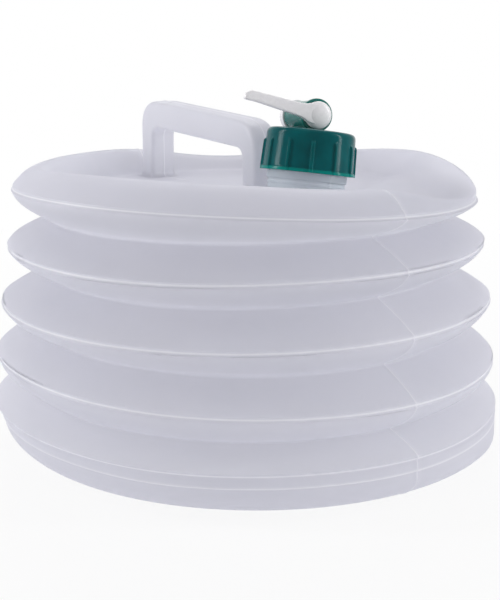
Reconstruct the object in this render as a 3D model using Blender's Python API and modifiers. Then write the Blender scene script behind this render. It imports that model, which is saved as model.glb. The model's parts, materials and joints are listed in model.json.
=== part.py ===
"""Collapsible water carrier: a bellows bottle with a handle, a threaded neck, and a cap with a lever tap.

Metres, +Z up, origin at the middle of the floor face. The mould's parting plane is X-Z: the handle stands
on the -X side and the neck on the +X side. The bottle is one moulding, divided here at its living hinges,
so that each crest and each root of the bellows can sink as the bottle folds down.
"""

import math

import bmesh
import bpy
import numpy as np
from mathutils import Matrix, Vector

MM = 0.001
DEG = math.pi / 180

# Clearances and counts shared by all the pieces
SEAM = 0.3 * MM
OVERRUN = 10 * MM
RING_STEPS = 40
CAP_STEPS = 32
TAP_STEPS = 20
THREAD_STEPS = 20
MERGE = 0.01 * MM

# Bottle wall and bellows
WALL = 1.5 * MM
BASE_CREST_HEIGHT = 25.5 * MM
FOLD_PITCH = 30.75 * MM
FOLD_PITCH_SHARES = (0.92, 1.015, 1.055, 1.01)
BASE_CREST_RADIUS = 143.5 * MM
TOP_CREST_RADIUS = 130.0 * MM
CREST_TAPER_SHARES = (0, 0.2, 0.42, 0.785, 1)
BASE_FOLD_DEPTH = 20.6 * MM
TOP_FOLD_DEPTH = 24.0 * MM
ROOT_HEIGHT_SHARES = (0.4, 0.47, 0.5, 0.47)
CREST_BAND = 2.4 * MM
ROOT_BAND = 3.0 * MM
RING_REACH = 1.5 * MM
FOLD_COUNT = len(FOLD_PITCH_SHARES)

# Base
STEP_DROP = 6.3 * MM
STEP_INSET = 1.5 * MM
STEP_LEDGE = 0.8 * MM
HEEL_RUN = 39.0 * MM
HEEL_SEGMENTS = 5
FOOT_RING = 17.0 * MM
PUSH_UP_HEIGHT = 3.0 * MM
PUSH_UP_RUN = 6.0 * MM

# Shoulder and sunken deck
RIM_INSET = 19.5 * MM
RIM_RISE = 14.0 * MM
RIM_ROUND = 6.0 * MM
DISH_RUN = 8.5 * MM
DECK_DROP = 4.0 * MM
DISH_ROUND = 6.0 * MM
# Round the bottle the moulded rim rises unevenly: share of a full turn from +X, share of the rise
RIM_RISE_SHARES = (
    (0.05, 0.09),
    (0.09, 0.3),
    (0.155, 1.0),
    (0.225, 1.0),
    (0.29, 0.77),
    (0.415, 0.25),
    (0.47, 0.53),
    (0.5, 0.74),
    (0.57, 0.9),
    (0.825, 1.0),
    (0.905, 0.86),
    (0.99, 0.54),
)

# Carry handle
GRIP_LENGTH = 92.5 * MM
HANDLE_LEG = 12.5 * MM
HANDLE_X = -39.3 * MM
HANDLE_WIDTH = 17.0 * MM
HANDLE_HEIGHT = 48.0 * MM
HANDLE_FALL = 6.0 * MM
HANDLE_BAR = 16.0 * MM
HANDLE_OUTER_ROUND = 11.0 * MM
HANDLE_INNER_ROUND = 7.0 * MM
HANDLE_EDGE = 3.0 * MM

# Threaded neck, in its own leaning frame with the deck at zero
NECK_X = 52.3 * MM
NECK_LEAN_TO_HANDLE = 2.0 * DEG
NECK_LEAN_ASIDE = 9.0 * DEG
NECK_RADIUS = 19.8 * MM
NECK_WALL = 2.0 * MM
NECK_HEIGHT = 33.1 * MM
NECK_FOOT_RADIUS = 20.6 * MM
NECK_FOOT_DEPTH = 7.0 * MM
COLLAR_PROUD = 1.4 * MM
COLLAR_HEIGHT = 4.5 * MM
LIP_CHAMFER = 0.5 * MM
THREAD_DEPTH = 1.2 * MM
THREAD_PITCH = 4.5 * MM
THREAD_TURNS = 1.4
THREAD_START = 3.2 * MM
THREAD_CLEARANCE = 0.4 * MM

# Screw cap
CAP_HEIGHT = 22.5 * MM
CAP_WALL = 2.0 * MM
CAP_TAPER = 0.9 * MM
CAP_ROUND = 2.5 * MM
CAP_FLANGE_PROUD = 0.6 * MM
CAP_FLANGE_HEIGHT = 2.0 * MM
LUG_COUNT = 12
LUG_WIDTH = 3.0 * MM
LUG_PROUD = 0.9 * MM
LUG_TOP_DROP = 6.5 * MM
LUG_TURN = 24.0 * DEG
LINER_THICKNESS = 1.5 * MM
LINER_CLEARANCE = 0.6 * MM

# Tap, in its own frame: Z runs along the barrel to the lever's end, -X is up from the cap
TAP_TURN = -18.0 * DEG
PLUG_RADIUS = 5.9 * MM
PLUG_WALL = 1.5 * MM
RUNNING_GAP = 0.3 * MM
BARREL_WALL = 1.8 * MM
BARREL_FRONT = 5.0 * MM
BARREL_RIM_PROUD = 0.8 * MM
BARREL_RIM_LENGTH = 2.5 * MM
SADDLE_WIDTH = 8.0 * MM
SPIGOT_RADIUS = 4.8 * MM
INLET_RADIUS = 2.9 * MM
DISC_RADIUS = 7.2 * MM
DISC_THICKNESS = 4.4 * MM
DISC_DOME = 1.6 * MM
DOME_SEGMENTS = 3
DISC_CLEARANCE = 0.8 * MM
SPOUT_COLLAR_RADIUS = 8.9 * MM
SPOUT_COLLAR_LENGTH = 4.8 * MM
SPOUT_PROUD = 0.5 * MM
LEVER_REACH = 42.0 * MM
LEVER_ROOT_WIDTH = 7.6 * MM
LEVER_TIP_WIDTH = 5.8 * MM
LEVER_THICKNESS = 3.8 * MM
LEVER_EDGE = 0.8 * MM
LEVER_TIP_LENGTH = 8.0 * MM
LEVER_TIP_DROP = 1.2 * MM
LEVER_RISE = 8.5 * DEG

# Sizes worked out from the ones above
BASE_ROOT_RADIUS = BASE_CREST_RADIUS - BASE_FOLD_DEPTH
TOP_ROOT_RADIUS = TOP_CREST_RADIUS - TOP_FOLD_DEPTH
CREST_END = CREST_BAND / 2 + RING_REACH
ROOT_END = ROOT_BAND / 2 + RING_REACH
TOP_CREST_HEIGHT = BASE_CREST_HEIGHT + FOLD_PITCH * sum(FOLD_PITCH_SHARES)
DECK_HEIGHT = TOP_CREST_HEIGHT - DECK_DROP
CAP_BORE = NECK_RADIUS + THREAD_DEPTH + THREAD_CLEARANCE
CAP_TOP_RADIUS = CAP_BORE + CAP_WALL
CAP_BASE_RADIUS = CAP_TOP_RADIUS + CAP_TAPER
CAP_CEILING = NECK_HEIGHT + SEAM + LINER_THICKNESS + SEAM
CAP_TOP = CAP_CEILING + CAP_WALL
CAP_BASE = CAP_TOP - CAP_HEIGHT
TAP_RISE = DISC_RADIUS + DISC_CLEARANCE
BARREL_BORE = PLUG_RADIUS + RUNNING_GAP
BARREL_RADIUS = BARREL_BORE + BARREL_WALL
BARREL_BACK = -CAP_TOP_RADIUS
DISC_BACK = BARREL_FRONT + RUNNING_GAP
SPOUT_FRONT = BARREL_BACK - RUNNING_GAP
SPOUT_BACK = SPOUT_FRONT - SPOUT_COLLAR_LENGTH

for scene_object in list(bpy.data.objects):
    bpy.data.objects.remove(scene_object, do_unlink=True)


def new_collection(name):
    """A collection of this name under the scene's own."""
    collection = bpy.data.collections.new(name)
    bpy.context.scene.collection.children.link(collection)
    return collection


PARTS = new_collection("water_carrier")
CUTTERS = new_collection("cutters")


def new_material(name, color, roughness, transmission=0.0):
    """A Principled material with one colour."""
    material = bpy.data.materials.new(name)
    material.use_nodes = True
    shader = material.node_tree.nodes["Principled BSDF"]
    shader.inputs["Base Color"].default_value = (*color, 1)
    shader.inputs["Roughness"].default_value = roughness
    shader.inputs["Metallic"].default_value = 0
    shader.inputs["Transmission Weight"].default_value = transmission
    material.diffuse_color = (*color, 1)
    return material


BOTTLE_PLASTIC = new_material("frosted_polyethylene", (0.74, 0.74, 0.79), 0.35, 0.3)
CAP_PLASTIC = new_material("teal_polypropylene", (0.0, 0.20, 0.18), 0.15)
TAP_PLASTIC = new_material("white_polyethylene", (0.86, 0.85, 0.88), 0.3)
LINER_FOAM = new_material("pale_liner_foam", (0.80, 0.80, 0.78), 0.7)


def add_object(name, data, material, parent=None):
    """Links a new sub-part and gives it its material and its parent."""
    obj = bpy.data.objects.new(name, data)
    PARTS.objects.link(obj)
    data.materials.append(material)
    obj.parent = parent
    return obj


def add_cutter(name, data, parent=None):
    """Links a shape that only joins or cuts the sub-parts."""
    obj = bpy.data.objects.new(name, data)
    CUTTERS.objects.link(obj)
    obj.parent = parent
    obj.hide_render = True
    obj.display_type = "WIRE"
    return obj


def profile_mesh(name, section, closed=True):
    """A chain of (radius, height) points. A closed one is open only between points on the axis."""
    count = len(section)
    pairs = [(i, (i + 1) % count) for i in range(count if closed else count - 1)]
    edges = [(a, b) for a, b in pairs if section[a][0] > 0 or section[b][0] > 0]
    mesh = bpy.data.meshes.new(name)
    mesh.from_pydata([(r, 0, z) for r, z in section], edges, [])
    return mesh


def turn(obj, steps):
    """Turns an object's profile round its own Z."""
    screw = obj.modifiers.new("Turned", "SCREW")
    screw.steps = steps
    screw.render_steps = steps
    screw.use_merge_vertices = True
    screw.merge_threshold = MERGE
    screw.use_smooth_shade = True
    return obj


def turned(name, section, material, steps, parent=None):
    """A turned sub-part, from a section that runs down its outer side."""
    return turn(add_object(name, profile_mesh(name, section), material, parent), steps)


def turned_cutter(name, section, steps, parent=None):
    """A turned shape for a cut or a join."""
    return turn(add_cutter(name, profile_mesh(name, section), parent), steps)


def evaluated_mesh(source):
    """The evaluated mesh of a curve or a turned shape, with its loose caps welded on."""
    bpy.context.view_layer.update()
    depsgraph = bpy.context.evaluated_depsgraph_get()
    mesh = bpy.data.meshes.new_from_object(source.evaluated_get(depsgraph))
    welded = bmesh.new()
    welded.from_mesh(mesh)
    bmesh.ops.remove_doubles(welded, verts=welded.verts, dist=MERGE)
    bmesh.ops.recalc_face_normals(welded, faces=welded.faces)
    welded.to_mesh(mesh)
    welded.free()
    bpy.data.objects.remove(source, do_unlink=True)
    return mesh


def rod_section(radius, low, high):
    """Section of a plain round rod."""
    return [(0, high), (radius, high), (radius, low), (0, low)]


def combine(obj, cutter, operation):
    """Cuts a sub-part with another shape, or joins the two."""
    boolean = obj.modifiers.new(cutter.name, "BOOLEAN")
    boolean.operation = operation
    boolean.object = cutter
    boolean.solver = "EXACT"


def rounded(points, radii, steps=3):
    """A chain of points with each inner corner replaced by an arc of its own radius."""
    line = [points[0]]
    for i in range(1, len(points) - 1):
        corner = Vector(points[i])
        back = Vector(points[i - 1]) - corner
        ahead = Vector(points[i + 1]) - corner
        half_angle = back.angle(ahead) / 2
        reach = min(radii[i - 1] / math.tan(half_angle), back.length / 2, ahead.length / 2)
        if reach <= MERGE:
            line.append(points[i])
            continue
        radius = reach * math.tan(half_angle)
        towards = (back.normalized() + ahead.normalized()).normalized()
        centre = corner + towards * (radius / math.sin(half_angle))
        start = corner + back.normalized() * reach - centre
        end = corner + ahead.normalized() * reach - centre
        sweep = start.angle(end)
        for step in range(steps + 1):
            share = step / steps
            weights = (math.sin((1 - share) * sweep), math.sin(share * sweep))
            arm = (start * weights[0] + end * weights[1]) / math.sin(sweep)
            line.append(tuple(centre + arm))
    line.append(points[-1])
    return line


def inner_line(line, wall):
    """The line one wall inside an outer line that runs down its outer side, with its ends cut level."""
    runs = [(Vector(b) - Vector(a)).normalized() for a, b in zip(line, line[1:])]
    normals = [Vector((run.y, -run.x)) for run in runs]
    inner = []
    for i, point in enumerate(line):
        if 0 < i < len(line) - 1:
            before, after = normals[i - 1], normals[i]
            shift = (before + after) * (wall / (1 + before.dot(after)))
        elif point[0] > 0:
            run = runs[0] if i == 0 else runs[-1]
            shift = Vector((-wall / abs(run.y), 0))
        else:
            shift = (normals[0] if i == 0 else normals[-1]) * wall
        inner.append(tuple(Vector(point) + shift))
    return inner


def shell_section(line):
    """Closed section of the bottle's wall behind an outer line."""
    return line + list(reversed(inner_line(line, WALL)))


def crest_height(index):
    """Height of a crest, counted up from the base."""
    return BASE_CREST_HEIGHT + FOLD_PITCH * sum(FOLD_PITCH_SHARES[:index])


def crest_radius(index):
    """Outer radius of a crest, counted up from the base."""
    taper = BASE_CREST_RADIUS - TOP_CREST_RADIUS
    return BASE_CREST_RADIUS - taper * CREST_TAPER_SHARES[index]


def root_height(fold):
    """Height of the root between crest `fold` and the crest above it."""
    return crest_height(fold) + FOLD_PITCH * FOLD_PITCH_SHARES[fold] * ROOT_HEIGHT_SHARES[fold]


def root_radius(fold):
    """Outer radius of a root, which falls evenly from the lowest fold to the top one."""
    return BASE_ROOT_RADIUS - (BASE_ROOT_RADIUS - TOP_ROOT_RADIUS) * fold / (FOLD_COUNT - 1)


def lower_cone(fold, height):
    """Point at a height on the cone that rises from crest `fold` to the root above it."""
    low = crest_height(fold) + CREST_BAND / 2
    high = root_height(fold) - ROOT_BAND / 2
    share = (height - low) / (high - low)
    return (crest_radius(fold) + (root_radius(fold) - crest_radius(fold)) * share, height)


def upper_cone(fold, height):
    """Point at a height on the cone that rises from root `fold` to the crest above it."""
    low = root_height(fold) + ROOT_BAND / 2
    high = crest_height(fold + 1) - CREST_BAND / 2
    share = (height - low) / (high - low)
    return (root_radius(fold) + (crest_radius(fold + 1) - root_radius(fold)) * share, height)


def crest_band(index):
    """The two edges of a crest's upright band, upper one first."""
    radius = crest_radius(index)
    height = crest_height(index)
    return [(radius, height + CREST_BAND / 2), (radius, height - CREST_BAND / 2)]


def make_crest_ring(index):
    """The stiff ring at one outer fold, with a short stretch of each cone."""
    top = lower_cone(index, crest_height(index) + CREST_END)
    bottom = upper_cone(index - 1, crest_height(index) - CREST_END)
    line = [top, *crest_band(index), bottom]
    turned(f"crest_ring_{index}", shell_section(line), BOTTLE_PLASTIC, RING_STEPS)


def make_fold(fold):
    """One fold between two crests: its lower wall, its root ring and its upper wall."""
    name = f"fold_{fold + 1}"
    middle = root_height(fold)
    radius = root_radius(fold)
    root_line = [
        upper_cone(fold, middle + ROOT_END),
        (radius, middle + ROOT_BAND / 2),
        (radius, middle - ROOT_BAND / 2),
        lower_cone(fold, middle - ROOT_END),
    ]
    lower_line = [
        lower_cone(fold, middle - ROOT_END - SEAM),
        lower_cone(fold, crest_height(fold) + CREST_END + SEAM),
    ]
    upper_line = [
        upper_cone(fold, crest_height(fold + 1) - CREST_END - SEAM),
        upper_cone(fold, middle + ROOT_END + SEAM),
    ]
    turned(f"{name}_lower_wall", shell_section(lower_line), BOTTLE_PLASTIC, RING_STEPS)
    turned(f"{name}_root_ring", shell_section(root_line), BOTTLE_PLASTIC, RING_STEPS)
    turned(f"{name}_upper_wall", shell_section(upper_line), BOTTLE_PLASTIC, RING_STEPS)


def heel_line(radius, height):
    """The heel's quarter ellipse from the step down to the floor."""
    floor_radius = radius - HEEL_RUN
    turns = [math.pi / 2 * i / HEEL_SEGMENTS for i in range(HEEL_SEGMENTS + 1)]
    return [(floor_radius + HEEL_RUN * math.cos(t), height - height * math.sin(t)) for t in turns]


def make_base_pan():
    """The base: lowest crest, step, heel, foot ring and the shallow push-up inside the ring."""
    step_height = BASE_CREST_HEIGHT - STEP_DROP
    step_radius = BASE_CREST_RADIUS - STEP_INSET
    heel = heel_line(step_radius, step_height - STEP_LEDGE)
    push_up_radius = heel[-1][0] - FOOT_RING
    line = [
        lower_cone(0, BASE_CREST_HEIGHT + CREST_END),
        *crest_band(0),
        (step_radius + STEP_LEDGE, step_height),
        *heel,
        (push_up_radius, 0),
        (push_up_radius - PUSH_UP_RUN, PUSH_UP_HEIGHT),
        (0, PUSH_UP_HEIGHT),
    ]
    turned("base_pan", shell_section(line), BOTTLE_PLASTIC, RING_STEPS)


def deck_line():
    """Outer line of the top: deck, dish wall, rounded rim, shoulder and top crest."""
    rim_radius = TOP_CREST_RADIUS - RIM_INSET
    points = [
        (0, DECK_HEIGHT),
        (rim_radius - DISH_RUN, DECK_HEIGHT),
        (rim_radius, TOP_CREST_HEIGHT + RIM_RISE),
        crest_band(FOLD_COUNT)[0],
    ]
    return rounded(points, (DISH_ROUND, RIM_ROUND))


def sag_rim(mesh):
    """Scales all that stands above the top crest by the share of the rise that its turn has."""
    crest_top = TOP_CREST_HEIGHT + CREST_BAND / 2
    turns, rises = zip(*RIM_RISE_SHARES)
    for vertex in mesh.vertices:
        x, y, z = vertex.co
        rise = np.interp(math.atan2(y, x) / (2 * math.pi), turns, rises, period=1)
        if z > crest_top:
            vertex.co.z = crest_top + (z - crest_top) * rise


def make_shoulder_deck():
    """The bottle's top with its uneven rim, and the hole that the neck stands in."""
    bottom = upper_cone(FOLD_COUNT - 1, TOP_CREST_HEIGHT - CREST_END)
    line = deck_line() + [crest_band(FOLD_COUNT)[1], bottom]
    profile = add_cutter("shoulder_line", profile_mesh("shoulder_line", line, closed=False))
    mesh = evaluated_mesh(turn(profile, RING_STEPS))
    sag_rim(mesh)
    deck = add_object("shoulder_deck", mesh, BOTTLE_PLASTIC)
    wall = deck.modifiers.new("Wall", "SOLIDIFY")
    wall.thickness = WALL
    wall.offset = -1
    wall.use_even_offset = True
    hole = rod_section(NECK_FOOT_RADIUS + SEAM, -NECK_FOOT_DEPTH - OVERRUN, OVERRUN)
    combine(deck, turned_cutter("neck_hole", hole, CAP_STEPS, NECK_FRAME), "DIFFERENCE")


def flat_solid(name, outline, thickness, edge):
    """Mesh of a flat outline in X-Y with a thickness along Z and bevelled edges."""
    curve = bpy.data.curves.new(name, "CURVE")
    curve.dimensions = "2D"
    curve.fill_mode = "BOTH"
    curve.extrude = thickness / 2 - edge
    curve.bevel_depth = edge
    curve.bevel_resolution = 1
    curve.offset = -edge
    spline = curve.splines.new("POLY")
    spline.points.add(len(outline) - 1)
    for point, (x, y) in zip(spline.points, outline):
        point.co = (x, y, 0, 1)
    spline.use_cyclic_u = True
    outline_object = bpy.data.objects.new(name, curve)
    CUTTERS.objects.link(outline_object)
    return evaluated_mesh(outline_object)


def handle_outline():
    """The handle from the side: a sloping bar on two legs that run on below the deck."""
    span = GRIP_LENGTH + 2 * HANDLE_LEG
    left = HANDLE_X - span / 2
    right = HANDLE_X + span / 2
    foot = DECK_HEIGHT - OVERRUN

    def bar_top(x):
        return DECK_HEIGHT + HANDLE_HEIGHT - HANDLE_FALL * (x - left) / span

    inner_left = left + HANDLE_LEG
    inner_right = right - HANDLE_LEG
    outer = [(left, foot), (left, bar_top(left)), (right, bar_top(right)), (right, foot)]
    inner = [
        (inner_right, foot),
        (inner_right, bar_top(inner_right) - HANDLE_BAR),
        (inner_left, bar_top(inner_left) - HANDLE_BAR),
        (inner_left, foot),
    ]
    outer_round = rounded(outer, (HANDLE_OUTER_ROUND, HANDLE_OUTER_ROUND), 4)
    return outer_round + rounded(inner, (HANDLE_INNER_ROUND, HANDLE_INNER_ROUND), 4)


def make_carry_handle():
    """The strap handle, trimmed to the surface of the deck it grows from."""
    mesh = flat_solid("carry_handle", handle_outline(), HANDLE_WIDTH, HANDLE_EDGE)
    handle = add_object("carry_handle", mesh, BOTTLE_PLASTIC)
    handle.rotation_euler = (math.pi / 2, 0, 0)
    surface = [(r, z + SEAM) for r, z in deck_line()]
    below = DECK_HEIGHT - 2 * OVERRUN
    section = surface + [(surface[-1][0], below), (0, below)]
    combine(handle, turned_cutter("deck_surface", section, RING_STEPS), "DIFFERENCE")


def add_empty(name, location, rotation, parent=None):
    """A frame for the pieces that share an axis."""
    empty = bpy.data.objects.new(name, None)
    PARTS.objects.link(empty)
    empty.location = location
    empty.rotation_euler = rotation
    empty.parent = parent
    return empty


NECK_FRAME = add_empty(
    "neck_frame",
    (NECK_X, 0, DECK_HEIGHT),
    (-NECK_LEAN_ASIDE, -NECK_LEAN_TO_HANDLE, 0),
)
CAP_FRAME = add_empty("cap_frame", (0, 0, 0), (0, 0, TAP_TURN), NECK_FRAME)
TAP_FRAME = add_empty("tap_frame", (0, 0, CAP_TOP + TAP_RISE), (0, math.pi / 2, 0), CAP_FRAME)


def helix_cutter(name, radius, top):
    """A thread ridge: a round rod along a helix that sinks from its start."""
    count = round(THREAD_STEPS * THREAD_TURNS)
    curve = bpy.data.curves.new(name, "CURVE")
    curve.dimensions = "3D"
    curve.bevel_depth = THREAD_DEPTH
    curve.bevel_resolution = 1
    curve.use_fill_caps = True
    spline = curve.splines.new("POLY")
    spline.points.add(count)
    for i, point in enumerate(spline.points):
        angle = -2 * math.pi * i / THREAD_STEPS
        height = top - THREAD_PITCH * i / THREAD_STEPS
        point.co = (radius * math.cos(angle), radius * math.sin(angle), height, 1)
    ridge = bpy.data.objects.new(name, curve)
    CUTTERS.objects.link(ridge)
    return add_cutter(name, evaluated_mesh(ridge), NECK_FRAME)


def make_threaded_neck():
    """The neck: lip, thread, collar below the cap, and a foot through the deck."""
    bore = NECK_RADIUS - NECK_WALL
    collar_top = CAP_BASE - SEAM
    collar_radius = NECK_RADIUS + COLLAR_PROUD
    section = [
        (bore, NECK_HEIGHT),
        (NECK_RADIUS - LIP_CHAMFER, NECK_HEIGHT),
        (NECK_RADIUS, NECK_HEIGHT - LIP_CHAMFER),
        (NECK_RADIUS, collar_top),
        (collar_radius, collar_top - LIP_CHAMFER),
        (collar_radius, collar_top - COLLAR_HEIGHT),
        (NECK_FOOT_RADIUS, collar_top - COLLAR_HEIGHT - LIP_CHAMFER),
        (NECK_FOOT_RADIUS, -NECK_FOOT_DEPTH),
        (bore, -NECK_FOOT_DEPTH),
    ]
    neck = turned("threaded_neck", section, BOTTLE_PLASTIC, CAP_STEPS, NECK_FRAME)
    ridge = helix_cutter("neck_thread", NECK_RADIUS, NECK_HEIGHT - THREAD_START)
    combine(neck, ridge, "UNION")


def make_cap_liner():
    """The soft washer between the neck's lip and the cap, open for the tap's spigot."""
    low = NECK_HEIGHT + SEAM
    radius = CAP_BORE - LINER_CLEARANCE
    hole = SPIGOT_RADIUS + SEAM
    high = low + LINER_THICKNESS
    section = [(hole, high), (radius, high), (radius, low), (hole, low)]
    turned("cap_liner", section, LINER_FOAM, CAP_STEPS, NECK_FRAME)


def lug_cutter():
    """The grip lugs on the cap's skirt, as one shape of separate blocks."""
    low = CAP_BASE
    high = CAP_TOP - LUG_TOP_DROP
    inner = CAP_BORE + CAP_WALL / 2
    outer = CAP_BASE_RADIUS + LUG_PROUD
    lugs = bmesh.new()
    for i in range(LUG_COUNT):
        block = bmesh.ops.create_cube(lugs, size=1)["verts"]
        bmesh.ops.scale(lugs, vec=(outer - inner, LUG_WIDTH, high - low), verts=block)
        middle = ((outer + inner) / 2, 0, (high + low) / 2)
        bmesh.ops.translate(lugs, vec=middle, verts=block)
        spin = Matrix.Rotation(LUG_TURN + 2 * math.pi * i / LUG_COUNT, 3, "Z")
        bmesh.ops.rotate(lugs, cent=(0, 0, 0), matrix=spin, verts=block)
    mesh = bpy.data.meshes.new("cap_lugs")
    lugs.to_mesh(mesh)
    lugs.free()
    return add_cutter("cap_lugs", mesh, NECK_FRAME)


def make_screw_cap():
    """The cap: rounded top, tapered skirt with lugs, flange, inner thread and the tap's hole."""
    flange_radius = CAP_BASE_RADIUS + CAP_FLANGE_PROUD
    outer = [
        (0, CAP_TOP),
        (CAP_TOP_RADIUS, CAP_TOP),
        (CAP_BASE_RADIUS, CAP_BASE + CAP_FLANGE_HEIGHT),
    ]
    section = rounded(outer, (CAP_ROUND,)) + [
        (flange_radius, CAP_BASE + CAP_FLANGE_HEIGHT - LIP_CHAMFER),
        (flange_radius, CAP_BASE),
        (CAP_BORE, CAP_BASE),
        (CAP_BORE, CAP_CEILING),
        (0, CAP_CEILING),
    ]
    cap = turned("screw_cap", section, CAP_PLASTIC, CAP_STEPS, NECK_FRAME)
    combine(cap, lug_cutter(), "UNION")
    start = NECK_HEIGHT - THREAD_START - THREAD_PITCH / 2
    combine(cap, helix_cutter("cap_thread", CAP_BORE, start), "UNION")
    hole = rod_section(SPIGOT_RADIUS + SEAM, CAP_CEILING - OVERRUN, CAP_TOP + OVERRUN)
    combine(cap, turned_cutter("spigot_hole", hole, TAP_STEPS, NECK_FRAME), "DIFFERENCE")


def box_cutter(name, low, high, parent):
    """A box between two corners, in its parent's frame."""
    box = bmesh.new()
    verts = bmesh.ops.create_cube(box, size=1)["verts"]
    bmesh.ops.scale(box, vec=[b - a for a, b in zip(low, high)], verts=verts)
    bmesh.ops.translate(box, vec=[(a + b) / 2 for a, b in zip(low, high)], verts=verts)
    mesh = bpy.data.meshes.new(name)
    box.to_mesh(mesh)
    box.free()
    return add_cutter(name, mesh, parent)


def make_tap_body():
    """The tap's barrel on its saddle, with a spigot through the cap and the plug's bore."""
    rim_radius = BARREL_RADIUS + BARREL_RIM_PROUD
    rim_back = BARREL_FRONT - BARREL_RIM_LENGTH
    section = [
        (0, BARREL_FRONT),
        (rim_radius, BARREL_FRONT),
        (rim_radius, rim_back),
        (BARREL_RADIUS, rim_back - BARREL_RIM_PROUD),
        (BARREL_RADIUS, BARREL_BACK),
        (0, BARREL_BACK),
    ]
    body = turned("tap_body", section, CAP_PLASTIC, TAP_STEPS, TAP_FRAME)
    saddle_back = BARREL_BACK + CAP_ROUND
    saddle = box_cutter(
        "tap_saddle",
        (PLUG_RADIUS / 2, -SADDLE_WIDTH / 2, saddle_back),
        (TAP_RISE + SEAM, SADDLE_WIDTH / 2, rim_back),
        TAP_FRAME,
    )
    combine(body, saddle, "UNION")
    under_cap_top = box_cutter(
        "cap_top_plane",
        (TAP_RISE - SEAM, -OVERRUN * 2, BARREL_BACK - OVERRUN),
        (TAP_RISE + OVERRUN, OVERRUN * 2, BARREL_FRONT + OVERRUN),
        TAP_FRAME,
    )
    combine(body, under_cap_top, "DIFFERENCE")
    spigot = rod_section(SPIGOT_RADIUS, NECK_HEIGHT + SEAM, CAP_TOP + TAP_RISE)
    combine(body, turned_cutter("tap_spigot", spigot, TAP_STEPS, CAP_FRAME), "UNION")
    inlet = rod_section(INLET_RADIUS, NECK_HEIGHT - OVERRUN, CAP_TOP + TAP_RISE)
    combine(body, turned_cutter("tap_inlet", inlet, TAP_STEPS, CAP_FRAME), "DIFFERENCE")
    bore = rod_section(BARREL_BORE, BARREL_BACK - OVERRUN, BARREL_FRONT + OVERRUN)
    combine(body, turned_cutter("plug_bore", bore, TAP_STEPS, TAP_FRAME), "DIFFERENCE")


def lever_outline():
    """The lever's arm from its disc to a squared tip that bends down a little."""
    straight = LEVER_REACH - LEVER_TIP_LENGTH
    centre = [(0, 0), (straight, 0), (LEVER_REACH, -LEVER_TIP_DROP)]
    widths = [LEVER_ROOT_WIDTH, LEVER_TIP_WIDTH, LEVER_TIP_WIDTH]
    upper = [(x, y + w / 2) for (x, y), w in zip(centre, widths)]
    lower = [(x, y - w / 2) for (x, y), w in zip(centre, widths)]
    outline = upper + list(reversed(lower))
    # Along the arm is -Y and its upper side is -X, turned up by the lever's rise
    along = Vector((-math.sin(LEVER_RISE), -math.cos(LEVER_RISE)))
    across = Vector((-math.cos(LEVER_RISE), math.sin(LEVER_RISE)))
    return [tuple(along * x + across * y) for x, y in outline]


def make_tap_plug():
    """The plug: hollow shaft with a side port, domed disc and lever arm in one moulding."""
    disc_front = DISC_BACK + DISC_THICKNESS - DISC_DOME
    turns = [math.pi / 2 * i / DOME_SEGMENTS for i in range(DOME_SEGMENTS + 1)]
    dome = [(DISC_RADIUS * math.sin(t), disc_front + DISC_DOME * math.cos(t)) for t in turns]
    section = dome + [
        (DISC_RADIUS, DISC_BACK),
        (PLUG_RADIUS, DISC_BACK),
        (PLUG_RADIUS, SPOUT_BACK - SPOUT_PROUD),
        (0, SPOUT_BACK - SPOUT_PROUD),
    ]
    plug = turned("tap_plug", section, TAP_PLASTIC, TAP_STEPS, TAP_FRAME)
    arm_mesh = flat_solid("lever_arm", lever_outline(), LEVER_THICKNESS, LEVER_EDGE)
    arm = add_cutter("lever_arm", arm_mesh, TAP_FRAME)
    arm.location = (0, 0, DISC_BACK + LEVER_THICKNESS / 2)
    combine(plug, arm, "UNION")
    hollow = PLUG_RADIUS - PLUG_WALL
    bore = rod_section(hollow, SPOUT_BACK - OVERRUN, hollow)
    combine(plug, turned_cutter("plug_hollow", bore, TAP_STEPS, TAP_FRAME), "DIFFERENCE")
    port = turned_cutter("plug_port", rod_section(INLET_RADIUS, 0, OVERRUN), TAP_STEPS, TAP_FRAME)
    port.rotation_euler = (-math.pi / 2, 0, 0)
    combine(plug, port, "DIFFERENCE")


def make_spout_collar():
    """The collar pressed on the plug's open end, which keeps the plug in the barrel."""
    bore = PLUG_RADIUS + SEAM
    section = [
        (bore, SPOUT_FRONT),
        (SPOUT_COLLAR_RADIUS, SPOUT_FRONT),
        (SPOUT_COLLAR_RADIUS, SPOUT_BACK + LIP_CHAMFER),
        (SPOUT_COLLAR_RADIUS - LIP_CHAMFER, SPOUT_BACK),
        (bore, SPOUT_BACK),
    ]
    turned("spout_collar", section, TAP_PLASTIC, TAP_STEPS, TAP_FRAME)


make_base_pan()
for fold_index in range(FOLD_COUNT):
    make_fold(fold_index)
for crest_index in range(1, FOLD_COUNT):
    make_crest_ring(crest_index)
make_shoulder_deck()
make_threaded_neck()
make_carry_handle()
make_cap_liner()
make_screw_cap()
make_tap_body()
make_tap_plug()
make_spout_collar()
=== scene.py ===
"""Looks of the collapsible water carrier: fine forms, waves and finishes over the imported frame."""

import json
import logging
import math
from collections.abc import Sequence
from dataclasses import dataclass, replace
from enum import Enum

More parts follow.
